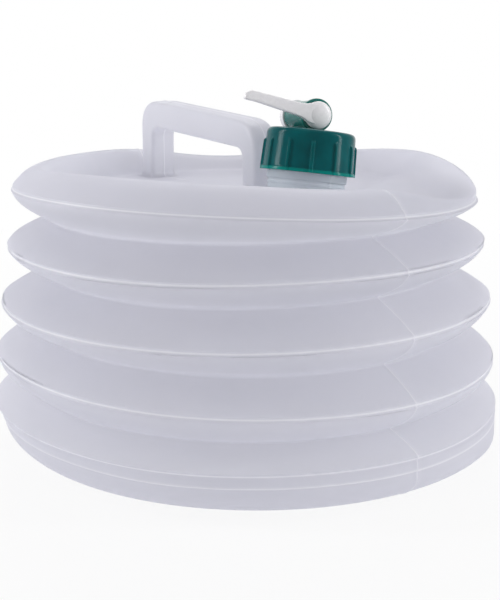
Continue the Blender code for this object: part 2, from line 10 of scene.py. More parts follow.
import bmesh
import bpy
import numpy as np
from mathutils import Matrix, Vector


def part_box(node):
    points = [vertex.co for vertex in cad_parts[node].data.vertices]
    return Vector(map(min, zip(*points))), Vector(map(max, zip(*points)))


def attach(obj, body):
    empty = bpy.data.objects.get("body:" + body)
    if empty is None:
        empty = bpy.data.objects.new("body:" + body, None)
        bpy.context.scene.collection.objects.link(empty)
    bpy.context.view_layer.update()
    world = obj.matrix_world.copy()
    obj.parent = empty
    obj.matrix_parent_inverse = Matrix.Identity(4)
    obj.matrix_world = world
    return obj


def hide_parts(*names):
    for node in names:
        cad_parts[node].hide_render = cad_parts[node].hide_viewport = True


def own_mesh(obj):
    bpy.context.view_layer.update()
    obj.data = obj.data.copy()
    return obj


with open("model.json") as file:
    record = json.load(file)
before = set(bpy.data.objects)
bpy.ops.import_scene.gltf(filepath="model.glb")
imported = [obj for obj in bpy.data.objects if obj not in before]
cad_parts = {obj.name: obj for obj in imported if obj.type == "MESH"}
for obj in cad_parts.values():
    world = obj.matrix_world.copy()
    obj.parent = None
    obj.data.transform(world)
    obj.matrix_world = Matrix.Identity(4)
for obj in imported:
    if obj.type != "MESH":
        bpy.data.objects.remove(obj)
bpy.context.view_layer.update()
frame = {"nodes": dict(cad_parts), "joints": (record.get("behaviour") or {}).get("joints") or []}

MM = 0.001
DEG = math.pi / 180
VIEW_AZIMUTH = -36.4 * DEG
WELD = 0.002 * MM
CLOSE = 0.05 * MM
REPORT = logging.getLogger("water_carrier")

Array = np.ndarray


class Body(Enum):
    """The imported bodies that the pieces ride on."""

    BASE = "base"
    TOP = "top"
    CAP = "cap"
    PLUG = "plug"


class Slot(Enum):
    """Names of the record's material slots; no piece here is given one."""

    BOTTLE = "bottle"
    CAP = "cap"
    TAP = "tap"


# Numbers and surfaces


def unit(vectors: Array) -> Array:
    """Each vector divided by its own length.

    Args:
        vectors: An array whose last axis holds the coordinates.

    Returns:
        The same directions at length one.
    """
    length = np.linalg.norm(vectors, axis=-1, keepdims=True)
    return vectors / np.maximum(length, 1e-12)


def ease(share: Array) -> Array:
    """A smooth step from 0 to 1: three times the square less twice the cube of the clipped share."""
    share = np.clip(share, 0, 1)
    return share * share * (3 - 2 * share)


def eased_in(value: Array, start: float, reach: float) -> Array:
    """A smooth step from 0 at the start to 1 one reach further on."""
    return ease((value - start) / reach)


def bell(distance: Array, width: float) -> Array:
    """The bell curve: e to the minus square of distance over width, so 1 at distance zero."""
    return np.exp(-((distance / width) ** 2))


def straight_rows(start: Array, end: Array, count: int) -> Array:
    """Rows evenly spaced from start to end, without the first.

    Args:
        start: Points of the first row.
        end: Points of the last row.
        count: How many rows follow the first.

    Returns:
        Rows stacked on a new first axis.
    """
    share = np.linspace(0, 1, count + 1)[1:].reshape(-1, *([1] * start.ndim))
    return start + (end - start) * share


def arc_rows(start: Array, corner: Array, end: Array, count: int) -> Array:
    """Rows on the quadratic Bezier curve from start to end that leans to the corner, without the first.

    Args:
        start: Points where the rounding starts.
        corner: The sharp corner's points.
        end: Points where the rounding ends.
        count: How many rows follow the first.

    Returns:
        Rows stacked on a new first axis.
    """
    share = np.linspace(0, 1, count + 1)[1:].reshape(-1, *([1] * start.ndim))
    return (1 - share) ** 2 * start + 2 * share * (1 - share) * corner + share**2 * end


def filleted(corners: Sequence[Array], reaches: Sequence[Array | float], runs: Sequence[int],
             arc: int = 5) -> Array:
    """Rows along a chain of corners, each inner one rounded.

    From a corner the rounding reaches back and ahead by its own reach, and in between it is a
    quadratic Bezier curve that leans to the corner.

    Args:
        corners: Arrays of like shape, one for each corner, with coordinates on the last axis.
        reaches: How far each inner corner's rounding reaches, as a number or one for each column.
        runs: How many rows each straight run gets.
        arc: How many rows each rounding gets.

    Returns:
        All rows, stacked on a new first axis.
    """
    rows = [corners[0][None]]
    last = corners[0]
    for index in range(1, len(corners) - 1):
        here = corners[index]
        reach = np.asarray(reaches[index - 1])[..., None]
        start = here + unit(corners[index - 1] - here) * reach
        end = here + unit(corners[index + 1] - here) * reach
        rows.append(straight_rows(last, start, runs[index - 1]))
        rows.append(arc_rows(start, here, end, arc))
        last = end
    rows.append(straight_rows(last, corners[-1], runs[-1]))
    return np.concatenate(rows)


def around(section: Array, azimuth: Array) -> Array:
    """Points of a turned surface: radius times cosine and sine of the azimuth, and the height.

    Args:
        section: Radius and height, shaped (rows, columns, 2) or (rows, 1, 2).
        azimuth: The angle of each column.

    Returns:
        Points shaped (rows, columns, 3).
    """
    shape = (len(section), len(azimuth))
    radius = np.broadcast_to(section[..., 0], shape)
    height = np.broadcast_to(section[..., 1], shape)
    return np.stack([radius * np.cos(azimuth), radius * np.sin(azimuth), height], axis=-1)


def even_angles(count: int) -> Array:
    """Angles evenly spaced round a full turn."""
    return np.arange(count) * (2 * math.pi / count)


def line_points(points: Sequence[tuple[float, float]]) -> list[Array]:
    """Corners of a section that is the same all round, each shaped (1, 2)."""
    return [np.array([point]) for point in points]


@dataclass(frozen=True)
class Axes:
    """A local frame: its origin and three unit directions, in the row frame."""

    origin: Array
    x: Array
    y: Array
    z: Array

    def place(self, points: Array) -> Array:
        """Local points moved into the row frame: origin plus each coordinate times its direction."""
        return self.origin + points @ np.stack([self.x, self.y, self.z])


def surface(name: str, points: Array) -> bpy.types.Object:
    """A mesh object over a grid of points whose columns close round into a ring.

    The face between rows i and i + 1 faces the row direction crossed with the column direction.

    Args:
        name: The piece's name.
        points: Points shaped (rows, columns, 3).

    Returns:
        The linked object, at the origin.
    """
    rows, columns = points.shape[:2]
    index = np.arange(rows * columns).reshape(rows, columns)
    above, below = index[:-1], index[1:]
    quads = np.stack([above, below, np.roll(below, -1, axis=1), np.roll(above, -1, axis=1)], axis=-1)
    mesh = bpy.data.meshes.new(name)
    mesh.from_pydata(points.reshape(-1, 3), [], quads.reshape(-1, 4))
    mesh.shade_smooth()
    piece = bpy.data.objects.new(name, mesh)
    bpy.context.scene.collection.objects.link(piece)
    return piece


def merge_poles(piece: bpy.types.Object, closed_form: bool = False) -> None:
    """Welds the piece's coincident points, so that poles and seams are closed.

    Args:
        piece: The mesh object.
        closed_form: True if the piece is a closed solid, whose faces then all turn outward.
    """
    work = bmesh.new()
    work.from_mesh(piece.data)
    bmesh.ops.remove_doubles(work, verts=work.verts, dist=WELD)
    if closed_form:
        bmesh.ops.recalc_face_normals(work, faces=work.faces)
    work.to_mesh(piece.data)
    work.free()
    piece.data.shade_smooth()


def mesh_points(piece: bpy.types.Object) -> Array:
    """The piece's points, shaped (points, 3)."""
    place = np.empty(len(piece.data.vertices) * 3)
    piece.data.vertices.foreach_get("co", place)
    return place.reshape(-1, 3)


def grid_normals(points: Array) -> Array:
    """Unit normals of a grid with closed columns: row direction crossed with column direction.

    Args:
        points: Points shaped (rows, columns, 3).

    Returns:
        Normals of the same shape.
    """
    along = np.gradient(points, axis=0)
    sideways = np.roll(points, -1, axis=1) - np.roll(points, 1, axis=1)
    return unit(np.cross(along, sideways))


def periodic(table: Sequence[tuple[float, float]], azimuth: Array, blur: float = 5 * DEG) -> Array:
    """A smooth curve round the bottle along a table of degrees and millimetres.

    The table is joined by straight lines and then blurred by a bell that wraps round.

    Args:
        table: Pairs of degrees and millimetres.
        azimuth: Where the curve is read.
        blur: The bell's width.

    Returns:
        The curve in metres.
    """
    places, values = np.array(sorted(table)).T
    even = np.arange(-180, 180, 0.5)
    curve = np.interp(even, places, values * MM, period=360)
    waves = np.arange(len(even) // 2 + 1)
    soft = np.fft.irfft(np.fft.rfft(curve) * np.exp(-((waves * blur) ** 2) / 2), len(even))
    return np.interp(azimuth / DEG, even, soft, period=360)


def turned(name: str, axes: Axes, line: Sequence[tuple[float, float]], reaches: Sequence[float],
           runs: Sequence[int], columns: int = 72, arc: int = 4) -> bpy.types.Object:
    """A turned piece: a rounded line of radius and height, spun about the axes' third direction.

    Args:
        name: The piece's name.
        axes: Its local frame.
        line: Corners of radius and height.
        reaches: How far each inner corner is rounded.
        runs: Rows on each straight run.
        columns: Points round the axis.
        arc: Rows on each rounding.

    Returns:
        The piece, with faces outward and its poles welded.
    """
    section = filleted(line_points(line), reaches, runs, arc)
    points = axes.place(around(section, even_angles(columns)))
    piece = surface(name, points)
    merge_poles(piece, closed_form=True)
    return piece


def swept(name: str, loops: Array) -> bpy.types.Object:
    """A solid through a row of closed loops, with a flat cap at either end.

    Args:
        name: The piece's name.
        loops: Points shaped (stations, columns, 3).

    Returns:
        The piece, with faces outward.
    """
    last = loops[[0, -1]]
    centres = np.broadcast_to(last.mean(axis=1, keepdims=True), last.shape)
    piece = surface(name, np.concatenate([centres[:1], loops, centres[1:]]))
    merge_poles(piece, closed_form=True)
    return piece


def dress(piece: bpy.types.Object, material: bpy.types.Material, body: Body,
          stands_for: Sequence[str] = ()) -> bpy.types.Object:
    """Gives a finished piece its material, its body and the nodes that it stands for.

    Args:
        piece: The finished object.
        material: Its finish.
        body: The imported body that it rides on.
        stands_for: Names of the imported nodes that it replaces.

    Returns:
        The same object.
    """
    piece.data.materials.clear()
    piece.data.materials.append(material)
    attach(piece, body.value)
    if stands_for:
        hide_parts(*stands_for)
    REPORT.info("%s: %d faces on %s", piece.name, len(piece.data.polygons), body.value)
    return piece


# Finishes


class NodeSheet:
    """A new material's node tree, with short calls that add and join nodes."""

    def __init__(self, name: str) -> None:
        """Starts a material that has one Principled shader."""
        self.material = bpy.data.materials.new(name)
        self.material.use_nodes = True
        self.tree = self.material.node_tree
        self.shader = self.tree.nodes["Principled BSDF"]
        self.output = self.tree.nodes["Material Output"]

    def add(self, kind: str, **values: object) -> bpy.types.Node:
        """Adds a node and sets its inputs by name.

        Args:
            kind: The node's type name.
            **values: Input names, with underscores for spaces, and their values.

        Returns:
            The new node.
        """
        node = self.tree.nodes.new(kind)
        for name, value in values.items():
            node.inputs[name.replace("_", " ")].default_value = value
        return node

    def join(self, source: bpy.types.NodeSocket, target: bpy.types.NodeSocket) -> None:
        """Links an output to an input."""
        self.tree.links.new(source, target)

    def object_point(self, stretch: tuple[float, float, float] = (1, 1, 1)) -> bpy.types.NodeSocket:
        """The surface's own place in metres, stretched along each axis.

        Args:
            stretch: A factor for each axis.

        Returns:
            The place as a vector output.
        """
        place = self.add("ShaderNodeTexCoord")
        mapping = self.add("ShaderNodeMapping", Scale=stretch)
        self.join(place.outputs["Object"], mapping.inputs["Vector"])
        return mapping.outputs["Vector"]

    def noise(self, scale: float, detail: float = 2, roughness: float = 0.5,
              stretch: tuple[float, float, float] = (1, 1, 1)) -> bpy.types.NodeSocket:
        """Cloudy noise from 0 to 1.

        Args:
            scale: How many lumps there are to a metre.
            detail: How many finer layers are added.
            roughness: How strong the finer layers are.
            stretch: A factor for each axis of the place.

        Returns:
            The noise as a number output.
        """
        node = self.add("ShaderNodeTexNoise", Scale=scale, Detail=detail, Roughness=roughness)
        self.join(self.object_point(stretch), node.inputs["Vector"])
        return node.outputs["Fac"]

    def remap(self, value: bpy.types.NodeSocket, low: float, high: float, new_low: float,
              new_high: float) -> bpy.types.NodeSocket:
        """The value's range from low to high, moved and clamped to the new range.

        Args:
            value: The number output that is read.
            low: The old range's start.
            high: The old range's end.
            new_low: The new range's start.
            new_high: The new range's end.

        Returns:
            The moved number as an output.
        """
        node = self.add("ShaderNodeMapRange", From_Min=low, From_Max=high, To_Min=new_low, To_Max=new_high)
        self.join(value, node.inputs["Value"])
        return node.outputs["Result"]

    def blend(self, share: bpy.types.NodeSocket, first: object, second: object) -> bpy.types.NodeSocket:
        """A colour between two colours, each a tuple or an output.

        The mixing node's colours are its inputs 6 and 7 and its output 2.

        Args:
            share: How much of the second colour shows.
            first: The colour at share 0.
            second: The colour at share 1.

        Returns:
            The mixed colour.
        """
        node = self.add("ShaderNodeMix")
        node.data_type = "RGBA"
        self.join(share, node.inputs["Factor"])
        for socket, colour in ((node.inputs[6], first), (node.inputs[7], second)):
            if isinstance(colour, bpy.types.NodeSocket):
                self.join(colour, socket)
            else:
                socket.default_value = (*colour, 1)
        return node.outputs[2]

    def attribute(self, name: str) -> bpy.types.NodeSocket:
        """The output of a number kept on the piece's points under a name."""
        node = self.tree.nodes.new("ShaderNodeAttribute")
        node.attribute_name = name
        return node.outputs["Fac"]

    def relief(self, height: bpy.types.NodeSocket, depth: float, strength: float = 1,
               under: bpy.types.NodeSocket | None = None) -> bpy.types.NodeSocket:
        """A bumped normal from a height, over an earlier relief if one is given.

        Args:
            height: The height's number output, from 0 to 1.
            depth: The relief's depth in metres.
            strength: How much of the relief shows.
            under: An earlier relief's normal.

        Returns:
            The normal as a vector output.
        """
        node = self.add("ShaderNodeBump", Strength=strength, Distance=depth)
        self.join(height, node.inputs["Height"])
        if under is not None:
            self.join(under, node.inputs["Normal"])
        return node.outputs["Normal"]


@dataclass(frozen=True)
class MilkyPolyethylene:
    """Frosted blow-moulded polyethylene that glows a little with the light inside the bottle."""

    name: str = "milky_polyethylene"
    colour: tuple[float, float, float] = (0.62, 0.615, 0.66)
    cloud: tuple[float, float, float] = (0.57, 0.575, 0.63)
    # Painted shade for the folds' undersides and the shoulder.
    under: tuple[float, float, float] = (0.40, 0.405, 0.45)
    # Pale lines along crests, step and parting ridge: partly moulded, partly painted highlight.
    line: tuple[float, float, float] = (0.97, 0.97, 0.98)
    shade: tuple[float, float, float] = (0.44, 0.44, 0.50)
    # Painted teal light that the cap casts on the neck.
    neck: tuple[float, float, float] = (0.76, 0.86, 0.88)
    glow: tuple[float, float, float] = (0.83, 0.83, 0.87)
    glow_share: float = 0.70
    shaded_glow_share: float = 0.8
    highlight_glow_share: float = 0.55
    shade_share: float = 0.4
    roughness: float = 0.36
    cloud_lumps: float = 16
    flow_lumps: float = 160
    shine_lumps: float = 60
    wax_lumps: float = 45
    wax_depth: float = 0.5 * MM
    grain_lumps: float = 1400
    grain_depth: float = 0.03 * MM

    def build(self) -> bpy.types.Material:
        """Makes the material.

        Returns:
            Satin plastic with faint clouds, flow marks, pale lines that are partly moulded and partly
            painted highlight, painted shade on undersides, shoulder and under the crests, painted teal light
            on the neck, and a waxy relief.
        """
        sheet = NodeSheet(self.name)
        shader = sheet.shader
        clouds = sheet.remap(sheet.noise(self.cloud_lumps, 3), 0.35, 0.65, 0, 1)
        flow = sheet.remap(sheet.noise(self.flow_lumps, 2, stretch=(1, 1, 0.08)), 0.45, 0.75, 0, 0.5)
        tone = sheet.blend(clouds, self.colour, self.cloud)
        tone = sheet.blend(flow, tone, self.colour)
        # Painted shade on the folds' undersides and on the shoulder.
        tone = sheet.blend(sheet.attribute("wall_shade"), tone, self.under)
        crest_shade = sheet.remap(sheet.attribute("crest_shade"), 0, 1, 0, self.shade_share)
        tone = sheet.blend(crest_shade, tone, self.shade)
        # Painted highlight along the crests and the base's step, partly their paler moulded lines.
        tone = sheet.blend(sheet.attribute("line_highlight"), tone, self.line)
        # Painted highlight along the parting ridge, partly its paler moulded line.
        tone = sheet.blend(sheet.attribute("parting"), tone, self.line)
        # Painted teal light from the cap on the neck.
        tone = sheet.blend(sheet.attribute("neck_teal_light"), tone, self.neck)
        sheet.join(tone, shader.inputs["Base Color"])
        gloss = sheet.noise(self.shine_lumps, 4, 0.6)
        shine = sheet.remap(gloss, 0.3, 0.7, self.roughness - 0.06, self.roughness + 0.08)
        sheet.join(shine, shader.inputs["Roughness"])
        wax = sheet.relief(sheet.noise(self.wax_lumps, 2), self.wax_depth, 0.25)
        grain = sheet.relief(sheet.noise(self.grain_lumps, 2), self.grain_depth, 0.35, wax)
        sheet.join(grain, shader.inputs["Normal"])
        shader.inputs["IOR"].default_value = 1.51
        # The translucent glow is dimmed there too, as painted shade.
        shaded_glow = tuple(self.shaded_glow_share * part for part in self.glow)
        through = sheet.add("ShaderNodeBsdfTranslucent")
        glow = sheet.blend(sheet.attribute("wall_shade"), self.glow, shaded_glow)
        # The glow is brightened along those lines too, as painted highlight.
        bright = sheet.remap(sheet.attribute("line_highlight"), 0, 1, 0, self.highlight_glow_share)
        glow = sheet.blend(bright, glow, self.line)
        sheet.join(glow, through.inputs["Color"])
        mix = sheet.add("ShaderNodeMixShader", Fac=self.glow_share)
        sheet.join(shader.outputs["BSDF"], mix.inputs[1])
        sheet.join(through.outputs["BSDF"], mix.inputs[2])
        sheet.join(mix.outputs["Shader"], sheet.output.inputs["Surface"])
        return sheet.material


@dataclass(frozen=True)
class GlossyPolypropylene:
    """Glossy moulded polypropylene with slow sink marks and thin edges painted paler, as painted light
    shining through them.
    """

    name: str
    colour: tuple[float, float, float]
    deep: tuple[float, float, float]
    # Painted light shining through thin edges.
    edge: tuple[float, float, float]
    roughness: float = 0.13
    level: float = 0.08
    drift_lumps: float = 70
    shine_lumps: float = 350
    sink_lumps: float = 120
    sink_depth: float = 0.35 * MM
    grain_lumps: float = 2600
    grain_depth: float = 0.012 * MM

    def build(self) -> bpy.types.Material:
        """Makes the material.

        Returns:
            Coloured gloss plastic whose tone drifts slowly and whose thin edges are painted paler, as
            painted light shining through them.
        """
        sheet = NodeSheet(self.name)
        shader = sheet.shader
        drift = sheet.remap(sheet.noise(self.drift_lumps, 3), 0.35, 0.65, 0, 1)
        tone = sheet.blend(drift, self.colour, self.deep)
        # Painted light through thin edges.
        tone = sheet.blend(sheet.attribute("thin_edge_light"), tone, self.edge)
        sheet.join(tone, shader.inputs["Base Color"])
        gloss = sheet.noise(self.shine_lumps, 3, 0.6)
        shine = sheet.remap(gloss, 0.35, 0.7, self.roughness - 0.03, self.roughness + 0.09)
        sheet.join(shine, shader.inputs["Roughness"])
        sink = sheet.relief(sheet.noise(self.sink_lumps, 2), self.sink_depth, 0.30)
        grain = sheet.relief(sheet.noise(self.grain_lumps, 2), self.grain_depth, 0.3, sink)
        sheet.join(grain, shader.inputs["Normal"])
        shader.inputs["IOR"].default_value = 1.49
        shader.inputs["Specular IOR Level"].default_value = self.level
        return sheet.material


@dataclass(frozen=True)
class PaleFoam:
    """Soft pale foam with open pores."""

    name: str = "pale_foam"
    colour: tuple[float, float, float] = (0.72, 0.72, 0.69)
    # Painted shade in the pores.
    pore: tuple[float, float, float] = (0.52, 0.52, 0.50)
    pore_lumps: float = 1800
    pore_depth: float = 0.12 * MM
    roughness: float = 0.85

    def build(self) -> bpy.types.Material:
        """Makes the material.

        Returns:
            Matt foam with painted shade in its pores and a rough relief.
        """
        sheet = NodeSheet(self.name)
        pores = sheet.noise(self.pore_lumps, 3, 0.6)
        tone = sheet.blend(sheet.remap(pores, 0.5, 0.7, 0, 1), self.colour, self.pore)
        sheet.join(tone, sheet.shader.inputs["Base Color"])
        sheet.join(sheet.relief(pores, self.pore_depth, 0.6), sheet.shader.inputs["Normal"])
        sheet.shader.inputs["Roughness"].default_value = self.roughness
        return sheet.material


@dataclass(frozen=True)
class StudioFloor:
    """Pale floor that looks white to the camera and keeps a soft shadow."""

    name: str = "studio_floor"
    colour: tuple[float, float, float] = (0.66, 0.66, 0.68)
    worn_share: float = 0.985
    roughness: float = 0.7
    near_share: float = 0.90
    near: float = 0.22
    far: float = 0.8

    def build(self) -> bpy.types.Material:
        """Makes the material.

        Returns:
            Matt floor, mixed with plain white where the camera, gloss or glass meets it, and
            more of it further away.
        """
        sheet = NodeSheet(self.name)
        grain = sheet.remap(sheet.noise(30, 3), 0.3, 0.7, 0, 1)
        tone = sheet.blend(grain, self.colour, tuple(part * self.worn_share for part in self.colour))
        sheet.join(tone, sheet.shader.inputs["Base Color"])
        sheet.shader.inputs["Roughness"].default_value = self.roughness
        white = sheet.add("ShaderNodeEmission", Color=(1, 1, 1, 1), Strength=1.0)
        mix = sheet.add("ShaderNodeMixShader")
        away = sheet.add("ShaderNodeVectorMath")
        away.operation = "LENGTH"
        sheet.join(sheet.object_point(), away.inputs[0])
        fade = sheet.remap(away.outputs["Value"], self.near, self.far, self.near_share, 1)
        share = sheet.add("ShaderNodeMath")
        share.operation = "MULTIPLY"
        sheet.join(fade, share.inputs[1])
        sheet.join(sees_background(sheet.tree), share.inputs[0])
        sheet.join(share.outputs["Value"], mix.inputs["Fac"])
        sheet.join(sheet.shader.outputs["BSDF"], mix.inputs[1])
        sheet.join(white.outputs["Emission"], mix.inputs[2])
        sheet.join(mix.outputs["Shader"], sheet.output.inputs["Surface"])
        return sheet.material


def sees_background(tree: bpy.types.NodeTree) -> bpy.types.NodeSocket:
    """One where the ray comes from the camera, from gloss or through glass, and zero elsewhere.

    Args:
        tree: The node tree that gets the nodes.

    Returns:
        The output that holds the one or zero.
    """
    path = tree.nodes.new("ShaderNodeLightPath")
    seen = path.outputs["Is Camera Ray"]
    for name in ("Is Glossy Ray", "Is Transmission Ray"):
        larger = tree.nodes.new("ShaderNodeMath")
        larger.operation = "MAXIMUM"
        tree.links.new(seen, larger.inputs[0])
        tree.links.new(path.outputs[name], larger.inputs[1])
        seen = larger.outputs["Value"]
    return seen


# The bottle


@dataclass(frozen=True)
class CrestWave:
    """How one fold line rises and falls round the bottle: pairs of turn and rise.

    The turn is in degrees from the camera's side, and the rise in millimetres.
    """

    table: tuple[tuple[float, float], ...]
    blur: float = 9 * DEG

    def lift(self, azimuth: Array) -> Array:
        """The rise of the line at each angle, on a soft curve through the table.

        Args:
            azimuth: Angles round the bottle.

        Returns:
            The rise in metres.
        """
        return periodic(self.table, azimuth - VIEW_AZIMUTH, self.blur)


@dataclass
class BottleForm:
    """Sizes of the moulded bottle that its three visible skins share.

    The waves and the two tables hold pairs of a turn in degrees from the camera's side and a
    length in millimetres. A pair of lengths is where a smooth step starts and how far it runs.
    """

    band: float = 2.4 * MM
    root_band: float = 1.2 * MM
    ring_reach: float = 1.5 * MM
    base_fold_depth: float = 20.6 * MM
    top_fold_depth: float = 24.0 * MM
    ridge_depth: float = 0.22 * MM
    ridge_half: float = 0.2 * MM
    ridge_foot: float = 0.6 * MM
    band_round: float = 0.42 * MM
    root_round: float = 0.5 * MM
    under_bow: float = 4.6 * MM
    # Painted shade: how strongly each fold's underside is darkened.
    under_shades: tuple[float, ...] = (0.12, 0.25, 0.35, 0.85)
    line_width: float = 0.42 * MM
    shade_width: float = 0.9 * MM
    shade_below: float = 1.9 * MM
    shoulder_shade: float = 0.35
    shoulder_rows: tuple[int, int, int] = (34, 14, 6)
    crest_rows: int = 20
    folds_from: float = 100 * MM
    front_bows: tuple[float, ...] = (3.0 * MM, 0.8 * MM, 1.6 * MM, 0.6 * MM)
    side_bows: tuple[float, ...] = (2.0 * MM, 4.0 * MM, 2.2 * MM, 5.0 * MM)
    top_drawn_in: tuple[tuple[float, float], ...] = (
        (-180, 0), (48, 0), (66, 1.6), (84, 2.2), (100, 1.0), (120, 0),
    )
    top_root_out: tuple[tuple[float, float], ...] = (
        (-180, 0), (-120, 2.5), (-79, 5.0), (-45, 1.5), (-20, 0), (20, 0), (50, 1.2), (79, 2.2), (120, 1.0),
    )
    waves: tuple[CrestWave, ...] = (
        CrestWave(((-160, 2.5), (-110, 4.6), (-79, 5.2), (-50, 3.8), (-37, 2.3), (-19, 0.9), (0, 0.9),
                   (25, 0.7), (45, 0.2), (60, 1.4), (79, 1.8), (110, 1.8), (150, 1.5))),
        CrestWave(((-150, 2.0), (-110, 3.8), (-79, 4.7), (-53, 4.3), (-37, 2.8), (-19, 1.2), (0, 0.4),
                   (25, -0.5), (45, -0.8), (60, -0.5), (79, 0.3), (110, 0.3), (150, 0.5))),
        CrestWave(((-150, 0.5), (-110, 2.2), (-79, 2.5), (-47, 0.8), (-25, 0.2), (0, 0.3), (14, 0.7),
                   (34, 1.5), (57, 2.3), (79, 3.4), (110, 3.2), (150, 1.0))),
        CrestWave(((-150, 0.2), (-110, 0.0), (-79, 0.1), (-47, -0.8), (-35, -1.3), (-20, -1.2), (0, -0.3),
                   (14, 0.6), (42, 1.0), (60, 1.2), (79, 2.3), (110, 2.2), (150, 0.6))),
        CrestWave(((-150, 0.8), (-110, 1.0), (-79, 1.0), (-47, 2.2), (-30, 1.6), (-10, 0.7), (0, 0.2),
                   (13, -1.2), (25, -2.8), (41, -3.8), (56, -4.7), (79, -5.2), (105, -4.6), (140, -1.5))),
    )
    lower_seam: float = 33.0 * MM
    upper_seam: float = 140.5 * MM
    parting_height: float = 0.35 * MM
    parting_width: float = 0.45 * MM
    parting_from: float = 60 * MM
    parting_foot: float = 1 * MM
    parting_fade: float = 5 * MM
    dent_depth: float = 0.25 * MM
    dent_climb: float = 34 * MM
    dent_waves: tuple[tuple[float, ...], ...] = ((5, 2.1, 0, 1), (8, -3.3, 1, 0.7), (13, 4.7, 2, 0.5))
    seam_calm: float = 14 * MM
    floor_calm: float = 25 * MM
    middle_calm: tuple[float, float] = (45 * MM, 40 * MM)
    neck_calm: tuple[float, float] = (26 * MM, 14 * MM)
    neck_lit: tuple[float, float] = (21.5 * MM, 3 * MM)
    box_gap: float = 0.02 * MM
    columns: int = 240

    def __post_init__(self) -> None:
        """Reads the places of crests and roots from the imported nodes."""
        _, base_high = (np.array(corner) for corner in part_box("base_pan"))
        deck_low, _ = (np.array(corner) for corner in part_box("shoulder_deck"))
        rings = [tuple(np.array(corner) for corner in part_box(f"crest_ring_{i}")) for i in (1, 2, 3)]
        roots = [tuple(np.array(corner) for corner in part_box(f"fold_{i}_root_ring")) for i in (1, 2, 3, 4)]
        end = self.band / 2 + self.ring_reach
        middles = [float(low[2] + high[2]) / 2 for low, high in rings]
        self.crest_heights = [float(base_high[2]) - end, *middles, self.top_crest(float(deck_low[0]))]
        reach = [float(high[0]) for _, high in rings]
        self.crest_radii = [float(base_high[0]), *reach, float(-deck_low[0])]
        self.root_heights = [float(low[2] + high[2]) / 2 for low, high in roots]
        first = self.crest_radii[0] - self.base_fold_depth
        last = self.crest_radii[-1] - self.top_fold_depth
        self.root_radii = list(np.linspace(first, last, len(roots)))
        self.azimuth = self.columns_round()

    def top_crest(self, left: float) -> float:
        """The top crest's height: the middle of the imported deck's points at its largest radius.

        Args:
            left: The deck's least X, which is minus its largest radius.

        Returns:
            The height in metres.
        """
        place = mesh_points(frame["nodes"]["shoulder_deck"])
        widest = np.hypot(place[:, 0], place[:, 1]) > -left - CLOSE
        heights = place[widest, 2]
        return float(heights.min() + heights.max()) / 2

    def columns_round(self) -> Array:
        """Even angles with extra ones close to the parting plane, for its thin ridge.

        Returns:
            Sorted angles round a full turn.
        """
        typical_radius = 130 * MM
        fine = np.array([-1.6, -0.9, -0.45, 0.45, 0.9, 1.6]) * self.parting_width / typical_radius
        even = even_angles(self.columns)
        return np.sort(np.concatenate([even, fine % (2 * math.pi), math.pi + fine]))

    def corner(self, radius: float | Array, height: float | Array) -> Array:
        """One corner of a section, for every column: radius and height, shaped (columns, 2)."""
        count = len(self.azimuth)
        return np.stack(
            [np.broadcast_to(radius, count), np.broadcast_to(height, count)], axis=-1
        ).astype(float)

    def crest_corners(self, index: int) -> list[Array]:
        """A crest's corners from low to high: its band with a thin ridge along the middle.

        The top crest is drawn in a little on the camera's right, by a table.

        Args:
            index: The crest's number from below, or -1 for the top one.

        Returns:
            Six corners, each shaped (columns, 2).
        """
        middle = self.crest_heights[index] + self.waves[index].lift(self.azimuth)
        outer = np.full_like(middle, self.crest_radii[index])
        if index in (-1, len(self.crest_heights) - 1):
            outer = outer - periodic(self.top_drawn_in, self.azimuth - VIEW_AZIMUTH)
        inner = outer - self.ridge_depth
        half, ridge, foot = self.band / 2, self.ridge_half, self.ridge_foot
        spots = [
            (inner, -half), (inner, -foot), (outer, -ridge),
            (outer, ridge), (inner, foot), (inner, half),
        ]
        return [self.corner(radius, middle + rise) for radius, rise in spots]

    def crest_reaches(self) -> list[float]:
        """How far each of a crest's corners is rounded, from low to high."""
        fine = 0.14 * MM
        return [self.band_round, fine, fine, fine, fine, self.band_round]

    def root_lift(self, fold: int) -> Array:
        """The wave of a root: the mean of the waves beside it, the lowest and highest taken as zero.

        Args:
            fold: The root's number from below.

        Returns:
            The root's rise at each column.
        """
        below = self.waves[fold].lift(self.azimuth) * (fold > 0)
        above = self.waves[fold + 1].lift(self.azimuth) * (fold + 1 < len(self.crest_heights) - 1)
        return (below + above) / 2

    def root_corners(self, fold: int) -> list[Array]:
        """A root's lower and upper corner, moved by its wave, and the top root drawn out by a table.

        Args:
            fold: The root's number from below.

        Returns:
            Two corners, each shaped (columns, 2).
        """
        middle = self.root_heights[fold] + self.root_lift(fold)
        radius = np.full_like(middle, self.root_radii[fold])
        if fold == len(self.root_radii) - 1:
            radius = radius + periodic(self.top_root_out, self.azimuth - VIEW_AZIMUTH)
        return [
            self.corner(radius, middle - self.root_band / 2),
            self.corner(radius, middle + self.root_band / 2),
        ]

    def seam_corner(self, first: Array, second: Array, height: float) -> Array:
        """The point at a height on the straight wall between two corners.

        Args:
            first: Corner below the seam.
            second: Corner above it.
            height: The seam's height.

        Returns:
            The corner on the seam, for every column.
        """
        share = (height - first[:, 1:]) / (second[:, 1:] - first[:, 1:])
        return first + (second - first) * share

